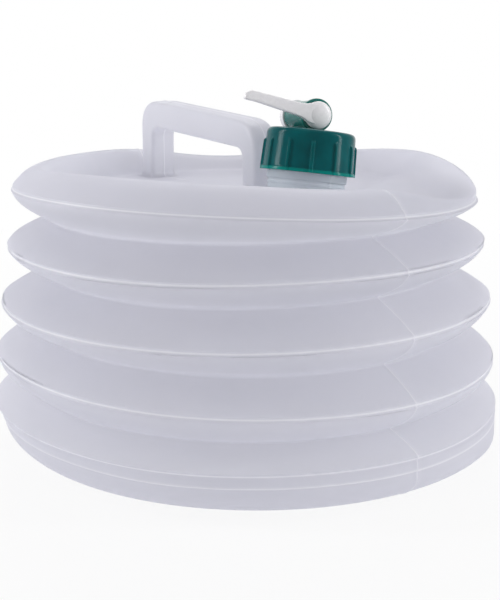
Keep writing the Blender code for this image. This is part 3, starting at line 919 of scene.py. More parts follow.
    def bow(self, points: Array, folded: Array) -> Array:
        """Walls bowed outward, as blow-moulded folds are.

        Each wall's radius grows by its bow times the sine of half a turn times the share of its
        height, from crest to root. Walls that rise to a root have one bow in line with the camera
        and another beside it, and go from one to the other by the square of the turn's sine.

        Args:
            points: Points shaped (rows, columns, 3), on straight walls.
            folded: True at the points that belong to the folds and crests.

        Returns:
            The points on bowed walls.
        """
        radius = np.hypot(points[..., 0], points[..., 1])
        height = points[..., 2]
        grown = np.zeros(radius.shape)
        beside = np.sin(self.azimuth - VIEW_AZIMUTH) ** 2
        for fold in range(len(self.root_heights)):
            upper_bow = self.front_bows[fold] + (self.side_bows[fold] - self.front_bows[fold]) * beside
            root = self.root_heights[fold] + self.root_lift(fold)
            below = self.crest_heights[fold] + self.waves[fold].lift(self.azimuth)
            above = self.crest_heights[fold + 1] + self.waves[fold + 1].lift(self.azimuth)
            upper = np.clip((height - below) / (root - below), 0, 1)
            under = np.clip((above - height) / (above - root), 0, 1)
            grown += upper_bow * np.sin(math.pi * upper) * (upper < 1)
            grown += self.under_bow * np.sin(math.pi * under) * (under < 1)
        stretch = 1 + grown * folded / np.maximum(radius, MM)
        return points * np.stack([stretch, stretch, np.ones_like(stretch)], axis=-1)

    def crest_shares(self, height: Array, folded: Array) -> dict[str, Array]:
        """Where the finish paints highlight lines along the crests, painted shade under them, and painted
        shade on the undersides.

        The first two are bells of the height from each crest, the second set a little lower. The
        third is the fold's shade times the square root of a sine, of half a turn times the share
        of the way from a root up to its crest.

        Args:
            height: Height of each point.
            folded: True at the points that belong to the folds and crests.

        Returns:
            The three shares, each from 0 to 1.
        """
        line, shade, under = (np.zeros(height.shape) for _ in range(3))
        for index, middle in enumerate(self.crest_heights):
            rise = height - middle - self.waves[index].lift(self.azimuth)
            # A painted highlight line along each crest, and painted shade a little below it.
            line = np.maximum(line, bell(rise, self.line_width))
            shade = np.maximum(shade, bell(rise + self.shade_below, self.shade_width))
        # Painted shade on each fold's underside, strongest halfway up.
        for fold, (root, weight) in enumerate(zip(self.root_heights, self.under_shades)):
            low = root + self.root_lift(fold)
            above = self.crest_heights[fold + 1] + self.waves[fold + 1].lift(self.azimuth)
            share = np.clip((height - low) / (above - low), 0, 1)
            under = np.maximum(under, weight * np.sin(math.pi * share) ** 0.5)
        return {"line_highlight": line * folded, "crest_shade": shade * folded, "wall_shade": under * folded}

    def relieve(self, points: Array, neck: Axes | None = None) -> tuple[Array, dict[str, Array]]:
        """A skin's points on bowed walls, with soft dents and the parting ridge.

        The dents are a sum of three slow sine waves round the bottle and up it, which fade to
        nothing at the two seams, near the floor and near the neck. The ridge is a bell of the
        distance to the parting plane, and fades out near the floor. No point ends up outside the
        widest crest's radius.

        Args:
            points: Points shaped (rows, columns, 3).
            neck: The neck's frame, for the skin that has one.

        Returns:
            The moved points, and the shares that the finish reads at each of them.
        """
        radius = np.hypot(points[..., 0], points[..., 1])
        folded = radius > self.folds_from
        if neck is not None:
            folded = np.arange(len(points))[:, None] > radius.argmax(axis=0) - self.crest_rows
        points = self.bow(points, folded)
        radius = np.hypot(points[..., 0], points[..., 1])
        height = points[..., 2]
        clear = eased_in(radius, *self.middle_calm)
        cap_light = np.zeros(radius.shape)
        if neck is not None:
            local = points - neck.origin
            rise = local @ neck.z
            off = np.linalg.norm(local - rise[..., None] * neck.z, axis=-1)
            clear = eased_in(off, *self.neck_calm)
            # Painted teal light from the cap, strongest at the neck.
            cap_light = 1 - eased_in(off, *self.neck_lit)
        # The parting share also paints a highlight along the ridge in the finish.
        ridge = bell(points[..., 1], self.parting_width) * (radius > self.parting_from)
        ridge = ridge * eased_in(height, self.parting_foot, self.parting_fade)
        away = np.minimum(np.abs(height - self.lower_seam), np.abs(height - self.upper_seam))
        fade = ease(away / self.seam_calm) * ease(height / self.floor_calm) * clear
        phase = height / self.dent_climb
        dents = sum(
            size * np.sin(count * self.azimuth + climb * phase + start)
            for count, climb, start, size in self.dent_waves
        )
        shift = -self.dent_depth * fade * (1.1 + dents / 2) + self.parting_height * ridge
        moved = points + grid_normals(points) * shift[..., None]
        largest = max(self.crest_radii) - self.box_gap
        past = np.maximum(np.hypot(moved[..., 0], moved[..., 1]) / largest, 1)
        moved[..., :2] /= past[..., None]
        marks = self.crest_shares(height, folded)
        # Painted shade on the shoulder between rim and crest, added to the undersides' painted shade.
        if neck is not None:
            row = np.arange(len(points))[:, None] - radius.argmax(axis=0)
            first, grow, last = self.shoulder_rows
            shoulder = ease((row + first) / grow) * (row < -last)
            marks["wall_shade"] = np.maximum(marks["wall_shade"], self.shoulder_shade * shoulder)
        return moved, {"parting": ridge, "neck_teal_light": cap_light, **marks}


def mark(piece: bpy.types.Object, shares: dict[str, Array]) -> None:
    """Keeps numbers on each of the piece's points, for its finish to read.

    Args:
        piece: The mesh object.
        shares: Each attribute's name and its number at each point.
    """
    for name, values in shares.items():
        attribute = piece.data.attributes.new(name, "FLOAT", "POINT")
        attribute.data.foreach_set("value", values.astype(np.float32).ravel())


@dataclass
class BasePan:
    """The base below the first seam: crest, step, heel, foot ring and push-up."""

    form: BottleForm
    step_drop: float = 6.3 * MM
    step_inset: float = 1.0 * MM
    step_ledge: float = 0.9 * MM
    heel_run: float = 34.5 * MM
    foot_ring: float = 20.5 * MM
    push_up_height: float = 3 * MM
    push_up_run: float = 6 * MM
    step_round: float = 0.35 * MM
    step_line: float = 0.4 * MM
    heel_inset: float = 0.5 * MM
    heel_drop: float = 3 * MM
    foot_round: float = 1.5 * MM
    push_up_round: float = 2.5 * MM
    crest_lean: float = 1.4 * MM
    heel_lean: float = 6.5 * MM
    lean_below: float = 1 * MM
    lean_run: float = 24 * MM
    side_swell: float = 3.6 * MM
    box_soft: float = 1.2 * MM
    box_below: float = 2.2 * MM
    calm_floor: tuple[float, float] = (40 * MM, 50 * MM)
    outside_from: float = 120 * MM

    def rows(self) -> Array:
        """Section rows from the seam down the outside to the middle of the floor face.

        The heel is a quarter ellipse. The step's height follows the lowest crest's wave. The whole
        base leans sideways: each point's radius changes by a lean that grows towards the floor, on
        the left by the square, times the cosine of its turn from the camera's right. On the right
        it also swells, by a power of that cosine times a power of a sine from crest to heel. Below
        the crest a hyperbolic tangent then keeps it inside the widest crest's radius.

        Returns:
            Radius and height, shaped (rows, columns, 2).
        """
        form = self.form
        crest = form.crest_corners(0)
        root_low = form.root_corners(0)[0]
        seam = form.seam_corner(crest[-1], root_low, form.lower_seam)
        lift = form.waves[0].lift(form.azimuth)
        step_height = form.crest_heights[0] - self.step_drop
        step_radius = form.crest_radii[0] - self.step_inset
        step_top = form.corner(step_radius + self.step_ledge, step_height + lift)
        step_low = form.corner(step_radius, step_height - self.step_ledge + lift)
        end = form.corner(step_radius - self.heel_inset, step_height - self.heel_drop + lift)
        chain = [seam, *crest[::-1], step_top, step_low, end]
        reaches = [*form.crest_reaches()[::-1], self.step_round, self.step_round]
        upper = filleted(chain, reaches, [8, 1, 1, 1, 1, 1, 5, 1, 2], 4)
        turn = np.linspace(0, math.pi / 2, 24)[:, None]
        top = step_height - self.step_ledge
        heel_height = (top + lift * np.cos(turn) ** 2) * (1 - np.sin(turn))
        heel_radius = np.broadcast_to(step_radius - self.heel_run * (1 - np.cos(turn)), heel_height.shape)
        heel = np.stack([heel_radius, heel_height], axis=-1)
        inner = step_radius - self.heel_run - self.foot_ring
        raised = form.corner(inner - self.push_up_run, self.push_up_height)
        floor = filleted(
            [heel[-1], form.corner(inner, 0), raised, form.corner(0, self.push_up_height)],
            [self.foot_round, self.push_up_round], [4, 3, 8], 4,
        )
        rows = np.concatenate([upper[:-2], heel[2:], floor[1:]])
        radius, height = rows[..., 0], rows[..., 1]
        near_crest = ease((form.lower_seam - height) / (form.lower_seam - form.crest_heights[0]))
        near_floor = np.clip((form.crest_heights[0] - self.lean_below - height) / self.lean_run, 0, 1)
        outside = eased_in(radius, *self.calm_floor)
        sideways = np.cos(form.azimuth - VIEW_AZIMUTH - math.pi / 2)
        crest_shift = self.crest_lean * near_crest * (sideways - 1)
        lean = (self.heel_lean - self.crest_lean) * sideways
        heel_shift = lean * near_floor ** np.where(sideways < 0, 2.0, 1.0)
        swell = self.side_swell * np.clip(sideways, 0, 1) ** 3
        belly = np.sin(math.pi * near_floor) ** 0.7
        radius = radius + (crest_shift + heel_shift + swell * belly) * outside
        soft = self.box_soft
        past = radius - (form.crest_radii[0] - soft)
        eased = np.where(past > 0, form.crest_radii[0] - soft + soft * np.tanh(past / soft), radius)
        radius = np.where(height < form.crest_heights[0] - self.box_below, eased, radius)
        return np.stack([radius, height], axis=-1)

    def build(self, material: bpy.types.Material) -> bpy.types.Object:
        """Makes the base's skin and dresses it.

        The step's edge gets a painted highlight line, as the crests do: a bell of the height from it.

        Args:
            material: The bottle's finish.

        Returns:
            The finished piece.
        """
        form = self.form
        points, shares = form.relieve(around(self.rows(), form.azimuth))
        step = form.crest_heights[0] - self.step_drop + form.waves[0].lift(form.azimuth)
        outside = np.hypot(points[..., 0], points[..., 1]) > self.outside_from
        # A painted highlight line along the step's edge.
        edge = bell(points[..., 2] - step, self.step_line) * outside
        shares["line_highlight"] = np.maximum(shares["line_highlight"], edge)
        piece = surface("base_skin", points)
        mark(piece, shares)
        merge_poles(piece)
        return dress(piece, material, Body.BASE, ["base_pan"])


@dataclass
class BellowsSkin:
    """The folds between the two seams; on the real bottle they flatten as it folds down."""

    form: BottleForm

    def rows(self) -> Array:
        """Section rows from the upper seam down the outside to the lower seam.

        Returns:
            Radius and height, shaped (rows, columns, 2).
        """
        form = self.form
        folds = len(form.root_radii)
        root = form.root_corners(0)
        chain = [form.seam_corner(form.crest_corners(0)[-1], root[0], form.lower_seam), *root]
        reaches = [form.root_round] * 2
        runs = [5, 1]
        for fold in range(1, folds):
            chain += [*form.crest_corners(fold), *form.root_corners(fold)]
            reaches += [*form.crest_reaches(), form.root_round, form.root_round]
            runs += [12, 1, 1, 1, 1, 1, 12, 1]
        top_low = form.crest_corners(folds)[0]
        chain.append(form.seam_corner(chain[-1], top_low, form.upper_seam))
        runs.append(6)
        return filleted(chain[::-1], reaches[::-1], runs[::-1], 3)

    def build(self, material: bpy.types.Material) -> bpy.types.Object:
        """Makes the folds' skin and dresses it on the base.

        Args:
            material: The bottle's finish.

        Returns:
            The finished piece.
        """
        form = self.form
        points, shares = form.relieve(around(self.rows(), form.azimuth))
        piece = surface("bellows_skin", points)
        mark(piece, shares)
        folds = range(1, len(form.root_radii) + 1)
        nodes = [f"fold_{i}_{part}" for i in folds for part in ("lower_wall", "root_ring", "upper_wall")]
        nodes += [f"crest_ring_{i}" for i in range(1, len(form.root_radii))]
        dress(piece, material, Body.BASE, nodes)
        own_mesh(piece)
        return piece


@dataclass
class ShoulderTop:
    """The top above the upper seam: neck, sunken deck, dish wall, rim, shoulder and top crest.

    The tables of rim and dish foot hold pairs of an azimuth in degrees and a length in
    millimetres. The collar's steps and the neck's rounds are in millimetres too.
    """

    form: BottleForm
    neck: Axes
    deck: float = 144.5 * MM
    dish_radius: float = 102 * MM
    rim_radius: float = 110.5 * MM
    rim_over: float = 2.0 * MM
    rim_round: float = 5.0 * MM
    shoulder_bow: float = 2.2 * MM
    shoulder_round: float = 6.0 * MM
    wide_span: float = 20 * MM
    foot_over: float = 0.5 * MM
    foot_round: float = 3.4 * MM
    foot_blur: float = 3 * DEG
    dish_round: float = 3.0 * MM
    soft_turn: float = 46
    soft_half: float = 28
    soft_inset: float = 4 * MM
    soft_round: float = 6 * MM
    bore: float = 17.8 * MM
    neck_radius: float = 19.8 * MM
    neck_top: float = 33.1 * MM
    collar_top: float = 14.4 * MM
    collar_steps: tuple[tuple[float, float], ...] = (
        (1.5, 0), (1.5, -3.7), (0.5, -4.0), (0.5, -5.0), (0.9, -5.3), (0.9, -6.2), (0.5, -6.6),
    )
    neck_rounds: tuple[float, ...] = (0.7, 0.7, 0.3, 0.5, 0.5, 0.15, 0.15, 0.15, 0.15, 0.2)
    rim_rise: tuple[tuple[float, float], ...] = (
        (-160, 11.4), (-145, 10.8), (-134, 9.8), (-115, 10.8), (-100, 12.8), (-75, 14.4), (-55, 13.9),
        (-37, 12.6), (-17, 10.2), (-7, 9.0), (0, 7.8), (8, 4.8), (14, 1.6), (20, -1.5), (26, -3.2),
        (35, -4.0), (43, -3.5), (48, -1.5), (54, 3.0), (60, 7.5), (66, 10.8), (72, 12.8), (80, 13.6),
        (90, 13.2), (98, 12.0), (106, 10.4), (120, 7.5), (146, 1.8), (153, 1.6), (159, 2.9), (164, 4.6),
        (180, 10.8),
    )
    rim_spread: tuple[tuple[float, float], ...] = (
        (-160, 4.5), (-145, 4.5), (-126, 5.0), (-112, 4.0), (-100, 2.5), (-75, 0.5), (-36, 0),
        (-10, 0.5), (0, 1.5), (8, 4), (14, 7.5), (20, 12), (28, 16.5), (45, 18.5), (54, 16.5),
        (60, 13), (66, 9), (72, 6.5), (80, 4.5), (90, 3.0), (105, 1.5), (144, 1), (180, 4),
    )
    foot_lift: tuple[tuple[float, float], ...] = (
        (-180, 0), (30, 0), (60, 2.0), (76, 6.0), (88, 0.3), (100, 3.2), (116, 0.6), (150, 0),
    )

    def neck_rows(self) -> list[Array]:
        """Corners of the neck: up its bore, over the lip, and down its collar's steps.

        The steps are millimetres out from the neck's wall and up from the collar's top.

        Returns:
            Corners shaped (columns, 3).
        """
        radius, top, collar = self.neck_radius, self.neck_top, self.collar_top
        line = [(self.bore, 0.0), (self.bore, top), (radius, top), (radius, collar)]
        line += [(radius + out * MM, collar + up * MM) for out, up in self.collar_steps]
        azimuth = self.form.azimuth
        return [self.neck.place(around(np.array([[point]]), azimuth)[0]) for point in line]

    def rows(self) -> Array:
        """Points of the whole skin, from the neck's bore over the deck and rim to the upper seam.

        The deck's rows lie between two circles, the neck's foot and the dish's foot, and each
        point keeps its angle while its centre and radius glide from one circle to the other. In
        a bell of the angle the dish's foot is drawn in and rounded more. The shoulder is bowed
        outward halfway between rim and crest, and its roundings fit its width.

        Returns:
            Points shaped (rows, columns, 3).
        """
        form, azimuth = self.form, self.form.azimuth
        ring = np.stack([np.cos(azimuth), np.sin(azimuth), 0 * azimuth], axis=-1)
        side = np.stack([-np.sin(azimuth), np.cos(azimuth), 0 * azimuth], axis=-1)
        low = self.neck.place(ring * (self.neck_radius + self.foot_over))
        drop = (self.deck - low[:, 2]) / self.neck.z[2]
        foot = low + self.neck.z * drop[:, None]
        degrees = np.degrees(azimuth)
        soft = bell((degrees + 180) % 360 - 180 - self.soft_turn, self.soft_half)
        lift = periodic(self.foot_lift, azimuth, self.foot_blur)
        dish = ring * (self.dish_radius - self.soft_inset * soft + 0.4 * lift)[:, None]
        dish[:, 2] = self.deck + lift
        rim = ring * (self.rim_radius + periodic(self.rim_spread, azimuth))[:, None]
        rim[:, 2] = form.crest_heights[-1] + periodic(self.rim_rise, azimuth) + self.rim_over
        crest = form.crest_corners(-1)
        root_high = form.root_corners(len(form.root_radii) - 1)[1]
        seam = form.seam_corner(root_high, crest[0], form.upper_seam)
        outer = [around(corner[None], azimuth)[0] for corner in (*crest[::-1], seam)]
        span = np.linalg.norm(outer[0] - rim, axis=-1)
        wide = np.clip(span / self.wide_span, 0.1, 1)
        share = 0.7 - 0.2 * wide
        middle = rim + (outer[0] - rim) * share[:, None]
        middle = middle + unit(np.cross(outer[0] - rim, side)) * (self.shoulder_bow * wide)[:, None]
        chain = [*self.neck_rows(), foot, dish, rim, middle, *outer]
        rim_reach = np.minimum(self.rim_round, 0.5 * share * span)
        room = np.minimum(0.45 * share * span, 0.9 * ((1 - share) * span - form.band_round))
        reaches = [
            *(reach * MM for reach in self.neck_rounds), self.foot_round,
            self.dish_round + self.soft_round * soft, rim_reach, np.minimum(self.shoulder_round, room),
            *form.crest_reaches()[::-1],
        ]
        runs = [4, 1, 6, 1, 2, 1, 1, 1, 1, 1, 2, 22, 4, 2, 4, 1, 1, 1, 1, 1, 5]
        return filleted(chain, reaches, runs, 5)

    def build(self, material: bpy.types.Material) -> bpy.types.Object:
        """Makes the top's skin and dresses it.

        Args:
            material: The bottle's finish.

        Returns:
            The finished piece.
        """
        points, shares = self.form.relieve(self.rows(), self.neck)
        piece = surface("shoulder_skin", points)
        mark(piece, shares)
        return dress(piece, material, Body.TOP, ["shoulder_deck", "threaded_neck"])


@dataclass
class CarryHandle:
    """The strap handle that grows out of the deck and falls towards the neck."""

    deck: float = 144.5 * MM
    left: float = -98.05 * MM
    right: float = 19.45 * MM
    leg: float = 12.5 * MM
    height: float = 47.6 * MM
    fall: float = 8 * MM
    bar: float = 16 * MM
    half_width: float = 8.5 * MM
    outer_round: float = 18 * MM
    inner_round: float = 7 * MM
    edge: float = 2.9 * MM
    flare: float = 3.2 * MM
    root: float = 1.5 * MM
    knee_round: float = 0.5 * MM
    ridge_half: float = 0.6 * MM
    ridge_proud: float = 0.35 * MM
    ridge_round: float = 0.25 * MM
    ridge_light: float = 0.45 * MM

    def line(self, inset: float, drop: float, reach: float) -> Array:
        """The handle's side line: up a leg, over a rounding, along the bar, and down again.

        Args:
            inset: How far inside the outer line it runs.
            drop: How far below the bar's top it runs.
            reach: How far its roundings reach.

        Returns:
            Points shaped (stations, 3) at Y zero.
        """
        span = self.right - self.left
        level = self.deck + self.height - drop
        tilt = self.fall / span
        foot = self.deck - self.root
        knee = self.deck + self.flare + self.knee_round
        left, right = self.left + inset, self.right - inset
        points = [
            (left, 0, foot), (left, 0, knee), (left, 0, level - tilt * inset),
            (right, 0, level - self.fall + tilt * inset), (right, 0, knee), (right, 0, foot),
        ]
        corners = [np.array([point], dtype=float) for point in points]
        reaches = [self.knee_round, reach, reach, self.knee_round]
        return filleted(corners, reaches, [18, 12, 30, 12, 18], 12)[:, 0]

    def build(self, material: bpy.types.Material) -> bpy.types.Object:
        """Makes the handle and dresses it.

        Each loop is a rounded rectangle between the outer and the inner line. Near the deck it
        grows all round by a quarter circle of the height, so that it runs into the deck, and a
        thin ridge stands out along the parting plane.

        Args:
            material: The bottle's finish.

        Returns:
            The finished piece.
        """
        outer = self.line(0, 0, self.outer_round)
        inner = self.line(self.leg, self.bar, self.inner_round)
        away = unit(outer - inner)
        low = np.minimum(outer[:, 2], inner[:, 2]) - self.deck
        over = 1 - np.clip(low / self.flare, 0, 1)
        spread = self.flare * (1 - np.sqrt(np.clip(1 - over**2, 0, 1)))
        outer = outer + away * spread[:, None]
        inner = inner - away * spread[:, None]
        side = np.array([0, 1.0, 0])
        wide = side * (self.half_width + spread)[:, None]
        near = side * self.ridge_half
        proud = self.ridge_proud * away
        chain = [
            outer + proud, outer + near, outer + wide, inner + wide, inner + near, inner - proud,
            inner - near, inner - wide, outer - wide, outer - near, outer + proud,
        ]
        small = self.ridge_round
        reaches = [small, self.edge, self.edge, small, small, small, self.edge, self.edge, small]
        loops = filleted(chain, reaches, [1, 5, 7, 5, 1, 1, 5, 7, 5, 1], 5)
        loops = np.swapaxes(loops, 0, 1)[:, :-1]
        piece = swept("handle_strap", loops)
        # Painted highlight along the handle's parting ridge, partly its paler moulded line.
        mark(piece, {"parting": bell(mesh_points(piece)[:, 1], self.ridge_light)})
        return dress(piece, material, Body.TOP, ["carry_handle"])


# The cap and the tap


@dataclass
class ThreadRidge:
    """A thread's ridge on a neck or in a cap, fading at both ends."""

    axes: Axes
    radius: float
    top: float
    depth: float
    pitch: float = 4.5 * MM
    turns: float = 1.4
    half_height: float = 1.35 * MM
    crown_share: float = 0.35
    sunk: float = 0.5 * MM
    least: float = 0.02 * MM
    fade_turns: float = 0.12

    def build(self, name: str) -> bpy.types.Object:
        """Makes the ridge: a trapezoid that follows a helix down and fades in and out.

        Args:
            name: The piece's name.

        Returns:
            The ridge's object.
        """
        share = np.linspace(0, self.turns, round(60 * self.turns))
        angle = -2 * math.pi * share
        fade = ease(share / self.fade_turns) * ease((self.turns - share) / self.fade_turns)
        proud = self.depth * fade + self.least
        height = self.top - self.pitch * share
        back = -self.sunk * np.sign(self.depth)
        flank, crown = self.half_height, self.half_height * self.crown_share
        spots = [(back, -flank), (0, -flank), (1, -crown), (1, crown), (0, flank), (back, flank)]
        loops = []
        for outward, rise in spots:
            reach = self.radius + (proud if outward == 1 else outward)
            spot = [reach * np.cos(angle), reach * np.sin(angle), height + rise]
            loops.append(self.axes.place(np.stack(spot, axis=-1)))
        return swept(name, np.stack(loops, axis=1))


@dataclass
class ScrewCap:
    """The cap's shell: rounded top, tapered skirt with twelve lugs, and flange.

    The places across a lug and the section's rounds are in millimetres.
    """

    axes: Axes
    top: float = 37.2 * MM
    ceiling: float = 35.2 * MM
    base: float = 14.7 * MM
    top_radius: float = 23.4 * MM
    base_radius: float = 24.3 * MM
    flange_radius: float = 24.9 * MM
    flange_height: float = 2.0 * MM
    bore: float = 21.4 * MM
    lugs: int = 12
    lug_half_width: float = 0.85 * MM
    lug_proud: float = 1.1 * MM
    lug_drop: float = 6.5 * MM
    lug_turn: float = 24 * DEG
    lug_flange_proud: float = 0.45 * MM
    lug_sides: tuple[float, float] = (0.3 * MM, 0.65 * MM)
    lug_ends: tuple[float, float] = (0.5 * MM, 1.3 * MM)
    lug_places: tuple[float, ...] = (0, 0.3, 0.5, 0.65, 0.8, 0.95, 1.1, 1.3, 1.7, 2.8, 4.5)
    rounds: tuple[float, ...] = (3.0, 0.35, 0.5, 0.3, 0.3, 0.8)
    ledge_run: float = 0.5 * MM
    ledge_over: float = 0.2 * MM
    ledge_light: float = 0.75
    lug_light: float = 0.08

    def build(self, material: bpy.types.Material) -> bpy.types.Object:
        """Makes the cap and dresses it.

        The skirt is a turned line. A lug adds to the radius where two smooth steps meet: one of
        the distance from the lug's middle along the skirt, one of the height below its top.

        Args:
            material: The cap's finish.

        Returns:
            The finished piece.
        """
        flange_top = self.base + self.flange_height
        line = [
            (0, self.top), (self.top_radius, self.top), (self.base_radius, flange_top),
            (self.flange_radius, flange_top), (self.flange_radius, self.base), (self.bore, self.base),
            (self.bore, self.ceiling), (0, self.ceiling),
        ]
        reaches = [reach * MM for reach in self.rounds]
        section = filleted(line_points(line), reaches, [8, 26, 1, 2, 2, 8, 6], 5)
        pitch = 2 * math.pi / self.lugs
        local = np.array(self.lug_places) * MM / self.base_radius
        sector = np.concatenate([-local[:0:-1], local])
        turn = (self.lug_turn + pitch * np.arange(self.lugs)[:, None] + sector).ravel()
        turn = np.sort(turn % (2 * math.pi))
        radius = np.repeat(section[..., 0], len(turn), axis=1)
        height = np.repeat(section[..., 1], len(turn), axis=1)
        aside = np.abs((turn - self.lug_turn + pitch / 2) % pitch - pitch / 2) * self.base_radius
        (over_side, side_run), (over_end, end_run) = self.lug_sides, self.lug_ends
        across = ease((self.lug_half_width + over_side - aside) / side_run)
        below = self.top - self.lug_drop - height
        along = ease((below + over_end) / end_run)
        outside = radius > (self.bore + self.top_radius) / 2
        proud = self.lug_proud * across * along * outside
        over = np.maximum(self.base_radius + proud - radius, 0)
        in_flange = np.minimum(proud, self.lug_flange_proud) * (over > 0)
        lug = np.where(height < flange_top - CLOSE, in_flange, proud)
        points = around(np.stack([radius + lug, height], axis=-1), turn)
        piece = surface("cap_shell", self.axes.place(points))
        # Painted light through the thin flange ledge and along the lugs.
        out = eased_in(radius, self.base_radius, self.ledge_run)
        ledge = out * ease((flange_top + self.ledge_over - height) / MM)
        pale = self.ledge_light * ledge * outside + self.lug_light * across * along * outside
        edges = np.clip(pale, 0, 1)
        mark(piece, {"thin_edge_light": edges})
        merge_poles(piece, closed_form=True)
        return dress(piece, material, Body.CAP, ["screw_cap"])


@dataclass
class LeverTap:
    """The tap: barrel on its saddle, hollow plug with domed disc and lever, and spout collar.

    Its local X runs along the lever, Y up from the cap, and Z along the barrel to the spout. The
    saddle's levels are millimetres along Y, and the tuples of rounds are in millimetres too.
    """

    axes: Axes
    neck: Axes
    barrel_radius: float = 8.0 * MM
    rim_radius: float = 8.8 * MM
    barrel_bore: float = 6.2 * MM
    front: float = 5.0 * MM
    back: float = 23.4 * MM
    rim_width: float = 2.5 * MM
    rim_fall: float = 0.8 * MM
    barrel_start: float = 8 * MM
    barrel_rounds: tuple[float, ...] = (0.3, 0.6, 0.5, 0.5, 0.6, 0.3)
    rise: float = 8.0 * MM
    saddle_half: float = 3.7 * MM
    saddle_flare: float = 1.6 * MM
    saddle_fade: float = 0.9 * MM
    saddle_front: float = 2.6 * MM
    saddle_back: float = 2.4 * MM
    saddle_round: float = 1.2 * MM
    saddle_levels: tuple[float, ...] = (-8.3, -8.0, -7.6, -7.0, -6.2, -5.2, -4.2, -3.0)
    spigot_bore: float = 2.9 * MM
    spigot_radius: float = 4.8 * MM
    spigot_low: float = 33.5 * MM
    spigot_middle: float = 36 * MM
    spigot_high: float = 38 * MM
    spigot_round: float = 0.3 * MM
    shaft: float = 5.9 * MM
    hollow: float = 4.4 * MM
    disc_radius: float = 7.2 * MM
    disc_back: float = 5.3 * MM
    disc_front: float = 9.7 * MM
    dome: float = 2.4 * MM
    dome_round: float = 0.3 * MM
    plug_rounds: tuple[float, ...] = (0.3, 0.4, 0.2, 0.5, 0.5, 0.6)
    hollow_end: float = 4.4 * MM
    spout_reach: float = 5.6 * MM
    collar_radius: float = 8.9 * MM
    collar_gap: float = 0.3 * MM
    collar_end: float = 5.1 * MM
    collar_rounds: tuple[float, ...] = (0.2, 0.5, 1.0, 0.3)
    reach: float = 42 * MM
    tip: float = 8 * MM
    tip_drop: float = 0.3 * MM
    root_width: float = 7.6 * MM
    tip_width: float = 5.3 * MM
    thickness: float = 3.8 * MM
    lever_rise: float = 8.7 * DEG
    root_flare: float = 1.6 * MM
    flare_from: float = 5.5 * MM
    flare_fade: float = 2.2 * MM
    flare_limit: float = 1.5 * MM
    end_round: float = 0.9 * MM
    tip_cut: float = 1.7 * MM
    tip_cut_run: float = 2.6 * MM
    lever_round: float = 1.0 * MM

    def barrel(self, material: bpy.types.Material) -> None:
        """Makes the barrel with its rim, the saddle under it, and the spigot through the cap.

        Barrel and spigot are turned lines. The saddle is a rounded rectangle at each level, which
        widens downwards by a falling exponential of the height.

        Args:
            material: The finish of all three.
        """
        bore, radius, rim = self.barrel_bore, self.barrel_radius, self.rim_radius
        start = self.barrel_start
        rim_end = -self.front + self.rim_width
        line = [
            (bore, start), (bore, -self.front), (rim, -self.front), (rim, rim_end),
            (radius, rim_end + self.rim_fall), (radius, self.back), (bore, self.back), (bore, start),
        ]
        soft = [reach * MM for reach in self.barrel_rounds]
        barrel = turned("tap_barrel", self.axes, line, soft, [4, 1, 3, 1, 10, 1, 4], 80)
        dress(barrel, material, Body.CAP, ["tap_body"])
        level = np.array(self.saddle_levels) * MM
        spread = self.saddle_flare * np.exp(-(level + self.rise) / self.saddle_fade)
        half = self.saddle_half + spread
        low = np.full_like(level, -self.front + self.saddle_front) - 0.3 * spread
        high = np.full_like(level, self.back - self.saddle_back)
        spots = [(half, (low + high) / 2), (half, high), (-half, high), (-half, low), (half, low),
                 (half, (low + high) / 2)]
        chain = [self.axes.place(np.stack([x, level, z], axis=-1)) for x, z in spots]
        loops = np.swapaxes(filleted(chain, [self.saddle_round] * 4, [8, 3, 16, 3, 8], 4), 0, 1)[:, :-1]
        dress(swept("tap_saddle", loops), material, Body.CAP)
        hole, wall = self.spigot_bore, self.spigot_radius
        low, high, middle = self.spigot_low, self.spigot_high, self.spigot_middle
        tube = [(hole, middle), (hole, low), (wall, low), (wall, high), (hole, high), (hole, middle)]
        spigot = turned("tap_spigot", self.neck, tube, [self.spigot_round] * 4, [1] * 5, 40)
        dress(spigot, material, Body.CAP)

    def plug(self, material: bpy.types.Material) -> None:
        """Makes the plug: domed disc, shaft and hollow in one turned line, the dome an ellipse.

        Args:
            material: The plug's finish.
        """
        depth = self.dome
        domed = [
            (self.disc_radius * math.sin(t), -(self.disc_front - depth) - depth * math.cos(t))
            for t in np.linspace(0, math.pi / 2, 9)[1:-1]
        ]
        end = self.back + self.spout_reach
        line = [
            (0, -self.disc_front), *domed, (self.disc_radius, -self.disc_front + depth),
            (self.disc_radius, -self.disc_back), (self.shaft, -self.disc_back), (self.shaft, end),
            (self.hollow, end), (self.hollow, -self.hollow_end), (0, -self.hollow_end),
        ]
        soft = [self.dome_round] * len(domed) + [reach * MM for reach in self.plug_rounds]
        runs = [1] * (len(domed) + 1) + [2, 1, 14, 1, 14, 3]
        plug = turned("plug_shaft", self.axes, line, soft, runs, 72, arc=3)
        dress(plug, material, Body.PLUG, ["tap_plug"])

